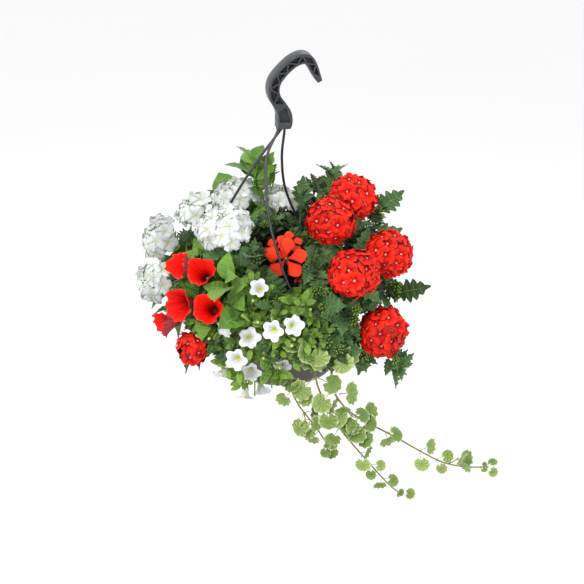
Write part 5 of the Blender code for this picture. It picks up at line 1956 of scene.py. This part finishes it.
def head_points(plan, count, top, low, radius, flat):
    """Points spread evenly over a flattened dome, from its crown down, and the way each one faces."""
    index = plan.add("GeometryNodeInputIndex")
    height = top + (low - top) * (index + 0.5) / count.maths("MAXIMUM", count, 1.0)
    square = 1.0 - height * height
    around = square.maths("SQRT", square.maths("MAXIMUM", square, 0.0))
    turn = index * GOLDEN_TURN
    x = turn.maths("COSINE", turn) * around
    y = turn.maths("SINE", turn) * around
    reach = radius * plan.random(0.93, 1.03, 11)
    place = {0: x * reach, 1: y * reach, 2: height * reach * flat}
    place = plan.add("ShaderNodeCombineXYZ", None, place)
    facing = plan.add("ShaderNodeCombineXYZ", None, {0: x, 1: y, 2: height / flat})
    points = {"Count": count, "Position": place, "Radius": 0.001}
    return plan.add("GeometryNodePoints", None, points), facing


def placed_on(plan, points, facing, shape, size, wobble):
    """The shape at each point, facing out with a turn and a lean of its own, and a shade."""
    seed = plan.given["Seed"]
    lean = plan.random_turn((-wobble, -wobble, 0.0), (wobble, wobble, math.tau), seed)
    local = {"Rotation": plan.upright(facing), "Rotate By": lean}
    turned = plan.add("FunctionNodeRotateRotation", {"rotation_space": "LOCAL"}, local)
    scale = size * plan.random(0.90, 1.10, seed + 1)
    return plan.toned(plan.copies(points, shape, turned, scale), seed + 2)


def head_tree(name, wobble):
    """A head's florets, and the buds at its crown, round the core that it is grown from."""
    inputs = dict.fromkeys(["Floret", "Bud"], "Object")
    inputs.update(dict.fromkeys(["Florets", "Buds", "Seed"], "Int"))
    inputs.update(dict.fromkeys(["Radius", "Flat", "Top", "Low", "Spread", "Bud Size"], "Float"))
    inputs.update(dict.fromkeys(["Petals", "Budding", "Core"], "Material"))
    plan = Growth(name, inputs)
    given = plan.given
    top, radius, flat = given["Top"], given["Radius"], given["Flat"]
    points, facing = head_points(plan, given["Florets"], top, given["Low"], radius, flat)
    florets = placed_on(plan, points, facing, plan.shape("Floret"), given["Spread"], wobble)
    points, facing = head_points(plan, given["Buds"], 1.0, top, radius * BUD_REACH, flat)
    buds = placed_on(plan, points, facing, plan.shape("Bud"), given["Bud Size"], 0.15)
    return plan.end({"Petals": florets, "Budding": buds, "Core": given["Geometry"]})


def head_core(radius, flat):
    """The closed heart of a head, where its florets' tubes meet the stem."""
    bm = bmesh.new()
    bmesh.ops.create_icosphere(bm, subdivisions=2, radius=1.0)
    half = radius * CORE_SHARE
    bm.transform(Matrix.Diagonal((half, half, half * flat, 1.0)))
    mark_sharp(bm, 35.0)
    return mesh_of(bm, "core")


def verbena_head(bloom, form, tree, shapes, surfaces, slot):
    """One head in its place: the larger it is, the more florets and buds it has."""
    place, facing, radius = BLOOMS[bloom]
    area = (radius / HEAD_RADIUS) ** 2
    number = int(bloom[-1])
    settings = {
        "Floret": shapes[0],
        "Bud": shapes[1],
        "Florets": round(form["florets"] * area),
        "Buds": max(3, round(form["buds"] * area)),
        "Radius": radius * form["reach"],
        "Flat": form["flat"],
        "Top": form["top"],
        "Low": form["low"],
        "Spread": FLORET_RADIUS * form["size"],
        "Bud Size": BUD_SIZE,
        "Seed": number,
        "Petals": surfaces[0],
        "Budding": surfaces[1],
        "Core": surfaces[2],
    }
    mesh = grown(bloom + "_florets", head_core(radius, form["flat"]), tree, settings)
    turn = Matrix.Rotation(0.9 * number, 3, "Z")
    mesh.transform(Matrix.Translation(RIM + Vector(place)) @ (turn_to(facing) @ turn).to_4x4())
    piece(bloom + "_florets", mesh, [], slot, bloom)


bud = bud_mesh()
# The cores show only in gaps between florets: the red one is dark red as shaded petals, painted shade, and
# the white one pale, painted light.
red_core = stem_surface("red_head_core", (0.300, 0.006, 0.003), (0.560, 0.014, 0.007))
white_core = stem_surface("white_head_core", (0.460, 0.520, 0.360), (0.640, 0.680, 0.560))
# Past the white eye and its dark red ring, the red darkens towards the throat: painted shade.
red_petals = petal_surface(
    "red_verbena_petals",
    [
        (0.0, (0.95, 0.80, 0.72)),
        (0.016, (0.90, 0.60, 0.50)),
        (0.026, (0.30, 0.000, 0.001)),
        (0.07, (0.46, 0.001, 0.001)),
        (0.15, (0.80, 0.008, 0.002)),
        (0.32, (1.00, 0.036, 0.014)),
        (0.36, (0.70, 0.014, 0.006)),
        (0.66, (0.40, 0.012, 0.010)),
        (0.70, (0.22, 0.020, 0.012)),
        (0.98, (0.07, 0.050, 0.015)),
    ],
    (0.74, 0.006, 0.002),
    # The edge share paints shade on the petals' sides.
    edge=0.42,
)
white_petals = petal_surface(
    "white_verbena_petals",
    [
        (0.0, (0.34, 0.40, 0.04)),
        (0.014, (0.48, 0.52, 0.12)),
        (0.032, (0.56, 0.58, 0.36)),
        (0.06, (0.50, 0.53, 0.47)),
        (0.14, (0.54, 0.56, 0.55)),
        (0.32, (0.58, 0.60, 0.60)),
        (0.36, (0.60, 0.63, 0.61)),
        (0.66, (0.60, 0.64, 0.56)),
        (0.72, (0.50, 0.60, 0.32)),
        (0.98, (0.16, 0.28, 0.07)),
    ],
    (0.56, 0.59, 0.60),
    # The edge share paints shade on the petals' sides.
    edge=0.24,
    # The glow is painted light that lifts the florets' shade.
    painted_glow=0.24,
)
red_buds = bud_surface("red_verbena_buds", (0.060, 0.050, 0.015), (0.300, 0.020, 0.010))
white_buds = bud_surface("white_verbena_buds", (0.070, 0.180, 0.030), (0.480, 0.560, 0.260))
red_floret = floret_mesh("red_floret", (0.20, 0.10, 0.12), 4)
white_floret = floret_mesh("white_floret", (0.30, 0.12, 0.12), 5)
red_tree = head_tree("red_verbena_head", 0.28)
white_tree = head_tree("white_verbena_head", 0.18)
for bloom in named("red_verbena_head", RED_HEADS):
    surfaces = (red_petals, red_buds, red_core)
    verbena_head(bloom, RED_FORM, red_tree, (red_floret, bud), surfaces, "red_petals")
for bloom in named("white_verbena_head", WHITE_HEADS):
    surfaces = (white_petals, white_buds, white_core)
    verbena_head(bloom, WHITE_FORM, white_tree, (white_floret, bud), surfaces, "white_petals")


# Petunias
# Scarlet trumpets of one thin sheet, five lobed with a ruffled rim and a dark throat, each held by a
# green calyx of five narrow sepals on a short stalk.

SHEET = 0.00035
# How far the rim of a bloom is bent together, as a share of its radius: more on the limp ones
FOLD = 0.05
FOLDS = {
    "petunia_bloom_2": 0.14,
    "petunia_bloom_3": 0.34,
    "petunia_bloom_4": 0.36,
    "petunia_bloom_5": 0.22,
}
# The calyx behind a throat, as (height over its neck, share of the throat's radius)
CALYX_FOOT = [(0.0002, 0.60), (-0.0001, 0.70), (-0.0006, 0.45)]
LOBES = 5


def funnel_width(form, share, reach):
    """How far out a trumpet's wall stands at a share of the way from its throat to its rim."""
    throat = form["throat"]
    return throat * (0.75 + 0.25 * share) + (reach - throat) * share ** form["flare"]


def funnel(form, radius, fold, phase, stretch):
    """A trumpet's rings from the throat to the rim, lobed and ruffled, and creased at each lobe."""
    rings = []
    for i in range(form["rings"]):
        share = i / (form["rings"] - 1)
        ring = []
        for j in range(form["steps"]):
            turn = math.tau * j / form["steps"]
            join = 0.5 - 0.5 * math.cos(LOBES * turn)
            lobe = round(LOBES * turn / math.tau) % LOBES
            cut = form["cut"] * join ** form["sharp"] * share**2
            out = funnel_width(form, share, radius * (1.0 - cut + stretch[lobe] * (1 - join)))
            wave = math.sin(10 * turn + phase[0]) + 0.6 * math.sin(15 * turn + phase[1])
            wave += 0.8 * math.sin(3 * turn + phase[2])
            lift = fold * share**2 * math.cos(2 * turn + phase[3]) + form["ruffle"] * share**3 * wave
            lift += form["crease"] * math.sin(math.pi * share**0.7) * (join - 0.5)
            lift -= form["bend"] * share**5 * (1.0 - 0.5 * join)
            height = radius * lift - form["depth"] * (1.0 - share) ** form["open"]
            ring.append(Vector((out * math.cos(turn), out * math.sin(turn), height)))
        rings.append(ring)
    return rings


def add_calyx(bm, uv, form, radius, turn):
    """The green cup behind a trumpet's throat, with five narrow sepals that lie along the tube."""
    throat, neck = form["throat"], -form["depth"] - SHEET
    cup = [(Vector((0, 0, neck + up)), throat * share) for up, share in CALYX_FOOT]
    add_tube(bm, uv, cup, 8, 2.9, 2.9)
    for k in range(LOBES):
        spin = Matrix.Rotation(math.tau * (k + 0.5) / LOBES + turn, 3, "Z")
        rows = []
        for i in range(5):
            share = i / 4
            half = throat * (0.42 if i == 0 else 0.50 * (1 - 0.85 * share**1.5))
            rise = neck + form["sepal"] * share
            level = 1.0 - min(-rise / form["depth"], 1.0) ** (1.0 / form["open"])
            out = funnel_width(form, level, radius) + 3 * SHEET + form["sepal"] * 0.20 * share**2
            rows.append([spin @ Vector((out, half * side, rise)) for side in (-1, 0, 1)])
        add_sheet(bm, uv, rows, [[(0.5, 2.8)] * 3] * 5, SHEET)


def paint_green(bm, first):
    """Puts the faces from a number on in the piece's second material, which is the green one."""
    bm.faces.ensure_lookup_table()
    for face in bm.faces[first:]:
        face.material_index = 1


def give_shade(mesh, value):
    """One shade to a whole piece."""
    shade = mesh.attributes.new("shade", "FLOAT", "POINT")
    shade.data.foreach_set("value", [value] * len(mesh.vertices))


def trumpet(bloom, form, surfaces, slot):
    """A trumpet bloom in its place: its funnel of one thin sheet, and its calyx behind."""
    place, facing, radius = BLOOMS[bloom]
    rng = random.Random(bloom)
    phase = [rng.uniform(0, math.tau) for _ in range(4)]
    stretch = [rng.uniform(-0.05, 0.05) for _ in range(LOBES)]
    rings = funnel(form, radius, FOLDS.get(bloom, FOLD), phase, stretch)
    last, steps = len(rings) - 1, form["steps"]

    def mark(i, j):
        return LOBES * j / steps + 0.5, i / last

    def lower(i, point):
        outward = Vector((point.x, point.y, 0.0)).normalized()
        return point + (outward * (1.0 - i / last) - Vector((0, 0, 0.3 + 0.7 * i / last))) * SHEET

    bm = bmesh.new()
    uv = bm.loops.layers.uv.new("marks")
    add_disc(bm, uv, rings, mark, lower)
    petals = len(bm.faces)
    add_calyx(bm, uv, form, radius, phase[3])
    paint_green(bm, petals)
    mark_sharp(bm, 70.0)
    bm.transform(Matrix.Translation(RIM + Vector(place)) @ turn_to(facing).to_4x4())
    mesh = mesh_of(bm, bloom + "_trumpet")
    give_shade(mesh, rng.uniform(0.35, 0.85))
    piece(bloom + "_trumpet", mesh, surfaces, slot, bloom)


# Sizes in metres; the rest are shares and powers that shape the lobes, the flare and the ruffles
PETUNIA_FORM = {
    "depth": 0.0295,
    "throat": 0.0040,
    "cut": 0.15,
    "sharp": 2.6,
    "flare": 1.05,
    "open": 1.45,
    "ruffle": 0.085,
    "crease": 0.13,
    "bend": 0.06,
    "rings": 13,
    "steps": 60,
    "sepal": 0.011,
}
petunia_petals = petal_surface(
    "petunia_petals",
    [
        (0.0, (0.02, 0.000, 0.000)),
        (0.035, (0.10, 0.000, 0.001)),
        (0.08, (0.44, 0.001, 0.001)),
        (0.15, (0.80, 0.006, 0.002)),
        (0.320, (0.88, 0.014, 0.005)),
        (0.345, (0.80, 0.150, 0.160)),
        (0.50, (0.66, 0.100, 0.110)),
        (0.66, (0.45, 0.050, 0.040)),
        (0.98, (0.10, 0.200, 0.040)),
    ],
    (0.50, 0.003, 0.004),
)
calyx = stem_surface("calyx", (0.080, 0.200, 0.025), (0.170, 0.340, 0.060))
for bloom in named("petunia_bloom", PETUNIA_BLOOMS):
    trumpet(bloom, PETUNIA_FORM, [petunia_petals, calyx], "red_petals")


# Calibrachoas
# Small white trumpets like a petunia's, flatter and with five clear lobes, yellow in the throat and with
# fine grey veins.

CALIBRACHOA_FORM = {
    "depth": 0.0146,
    "throat": 0.0024,
    "cut": 0.26,
    "sharp": 2.0,
    "flare": 1.10,
    "open": 2.6,
    "ruffle": 0.050,
    "crease": 0.12,
    "bend": 0.07,
    "rings": 11,
    "steps": 50,
    "sepal": 0.0060,
}
calibrachoa_petals = petal_surface(
    "calibrachoa_petals",
    [
        (0.0, (0.60, 0.62, 0.05)),
        (0.016, (0.68, 0.70, 0.10)),
        (0.036, (0.64, 0.66, 0.28)),
        (0.060, (0.58, 0.59, 0.52)),
        (0.11, (0.58, 0.60, 0.60)),
        (0.33, (0.63, 0.65, 0.66)),
        (0.36, (0.76, 0.79, 0.74)),
        (0.66, (0.72, 0.78, 0.56)),
        (0.98, (0.30, 0.44, 0.10)),
    ],
    (0.52, 0.55, 0.60),
    # The glow is painted light that lifts the trumpets' shade.
    painted_glow=0.20,
)
for bloom in named("calibrachoa_bloom", CALIBRACHOA_BLOOMS):
    trumpet(bloom, CALIBRACHOA_FORM, [calibrachoa_petals, calyx], "white_petals")


# Geranium bloom
# A young cluster of three scarlet flowers and a bud on thin stalks. Each has five separate, wedge-shaped
# petals round a small green heart.

GERANIUM_STALK = 0.015
STALK_WIDTH = 0.0011
WEDGE_THICKNESS = 0.0004
WEDGE_SIZE = 1.12
# A flower's green heart, as (height, radius)
FLOWER_HEART = [(-0.0012, 0.0010), (0.0, 0.0019), (0.0016, 0.0008)]
# Each flower of the cluster: how far across, up and forward it stands, its size, and its turn
GERANIUM_FLOWERS = (
    (0.12, -0.20, 0.35, 1.38, 0.30),
    (-0.62, 0.62, -0.25, 0.92, 0.95),
    (0.42, 1.18, -0.35, 0.90, 0.10),
    (1.00, -1.45, -0.30, 0.36, 0.20),
)


def wedge_petal(bm, uv, heart, basis, reach, rng):
    """A separate petal, narrow at the heart and rounded at its end, that droops by its own weight."""
    lift, lean = rng.uniform(-0.06, 0.12), rng.uniform(-0.20, 0.20)

    def place(share, side):
        half = 0.04 + 0.35 * math.sin(math.pi * min(share, 0.88) ** 1.9)
        out = 0.08 + 0.94 * share - 0.13 * share**3 * side**2
        height = lift * share - 0.05 * share**3 - 0.10 * half * side**2 + lean * side * half
        return heart + basis @ (Vector((out, half * side, height)) * reach * WEDGE_SIZE)

    add_petal(bm, uv, 6, place, WEDGE_THICKNESS)


def geranium_mesh(bloom):
    """The cluster in its place: each flower's petals, then its green stalk and heart."""
    place, facing, radius = BLOOMS[bloom]
    rng = random.Random(bloom)
    facing = Vector(facing).normalized()
    middle = RIM + Vector(place)
    seat = middle - facing * GERANIUM_STALK
    basis = turn_to(facing)
    bm = bmesh.new()
    uv = bm.loops.layers.uv.new("marks")
    for across, up, forward, size, turn in GERANIUM_FLOWERS:
        tilt = (basis @ Vector((across * 0.35, up * 0.35, 1.0))).normalized()
        heart = middle + basis @ Vector((across, up, forward)) * radius
        for petal in range(5):
            spin = Matrix.Rotation(math.tau * petal / 5 + turn + rng.uniform(-0.12, 0.12), 3, "Z")
            wedge_petal(bm, uv, heart, turn_to(tilt) @ spin, radius * size, rng)
        petals = len(bm.faces)
        line = smooth_path([seat, seat + facing * 0.003, heart - tilt * 0.0006], 9)
        add_tube(bm, uv, [(point, STALK_WIDTH) for point in line], 7, 2.5, 2.5)
        add_tube(bm, uv, [(heart + tilt * rise, half) for rise, half in FLOWER_HEART], 8, 2.5, 2.5)
        paint_green(bm, petals)
    mark_sharp(bm, 60.0)
    return mesh_of(bm, bloom + "_petals")


geranium_petals = petal_surface(
    "geranium_petals",
    [
        (0.0, (0.70, 0.012, 0.006)),
        (0.08, (0.95, 0.034, 0.008)),
        (0.33, (1.00, 0.068, 0.020)),
        (0.36, (0.85, 0.060, 0.030)),
        (0.98, (0.60, 0.040, 0.020)),
    ],
    (0.70, 0.015, 0.006),
    # The edge share paints shade on the petals' sides.
    edge=0.35,
)
geranium_green = stem_surface("geranium_stalk", (0.090, 0.170, 0.030), (0.190, 0.290, 0.070))
mesh = geranium_mesh("geranium_bloom")
give_shade(mesh, 0.95)
surfaces = [geranium_petals, geranium_green]
piece("geranium_bloom_petals", mesh, surfaces, "red_petals", "geranium_bloom")


# Room
# A pale floor well under the hanging basket, soft studio light, and the camera of the photograph.

FLOOR_HALF = 9.0
FLOOR_HEIGHT = -1.3
VIEW_TARGET = Vector((-0.0108, 0.0, -0.2925))
VIEW_ELEVATION = 24.0
VIEW_DISTANCE = 2.0
VIEW_FIELD = 0.722
SENSOR = 36.0

corners = [(x * FLOOR_HALF, y * FLOOR_HALF, FLOOR_HEIGHT) for x, y in ((-1, -1), (1, -1), (1, 1), (-1, 1))]
floor_mesh = bpy.data.meshes.new("floor")
floor_mesh.from_pydata(corners, [], [(0, 1, 2, 3)])
floor = linked("floor", floor_mesh)
floor_white, plan, shader = new_surface("floor_white", {"Roughness": 0.9})
tone = plan.noise(plan.place(), 0.6, 2.0)
plan.feed(shader, {"Base Color": plan.mix(tone, (0.90, 0.90, 0.90), (0.94, 0.94, 0.94))})
floor_mesh.materials.append(floor_white)

lift = math.radians(VIEW_ELEVATION)
camera_data = bpy.data.cameras.new("camera")
camera_data.sensor_width = SENSOR
camera_data.lens = SENSOR * VIEW_DISTANCE / VIEW_FIELD
camera = linked("camera", camera_data)
back = Vector((0.0, -math.cos(lift), math.sin(lift)))
camera.location = VIEW_TARGET + back * VIEW_DISTANCE
camera.rotation_euler = back.to_track_quat("Z", "Y").to_euler()
bpy.context.scene.camera = camera


def soft_light(name, place, size, power):
    """A round soft light that faces the basket."""
    data = bpy.data.lights.new(name, "AREA")
    data.shape = "DISK"
    data.size = size
    data.energy = power
    light = linked(name, data)
    light.location = place
    light.rotation_euler = (Vector(place) - VIEW_TARGET).to_track_quat("Z", "Y").to_euler()


soft_light("key_light", (-0.9, -1.8, 1.5), 0.8, 46.0)
soft_light("side_light", (1.9, -0.8, 0.7), 1.2, 10.0)
soft_light("back_light", (0.4, 2.0, 1.4), 1.2, 10.0)
world = bpy.data.worlds.new("room")
world.use_nodes = True
world.node_tree.nodes["Background"].inputs["Color"].default_value = (1.0, 1.0, 1.0, 1.0)
world.node_tree.nodes["Background"].inputs["Strength"].default_value = 1.0
bpy.context.scene.world = world
bpy.context.scene.view_settings.view_transform = "Standard"
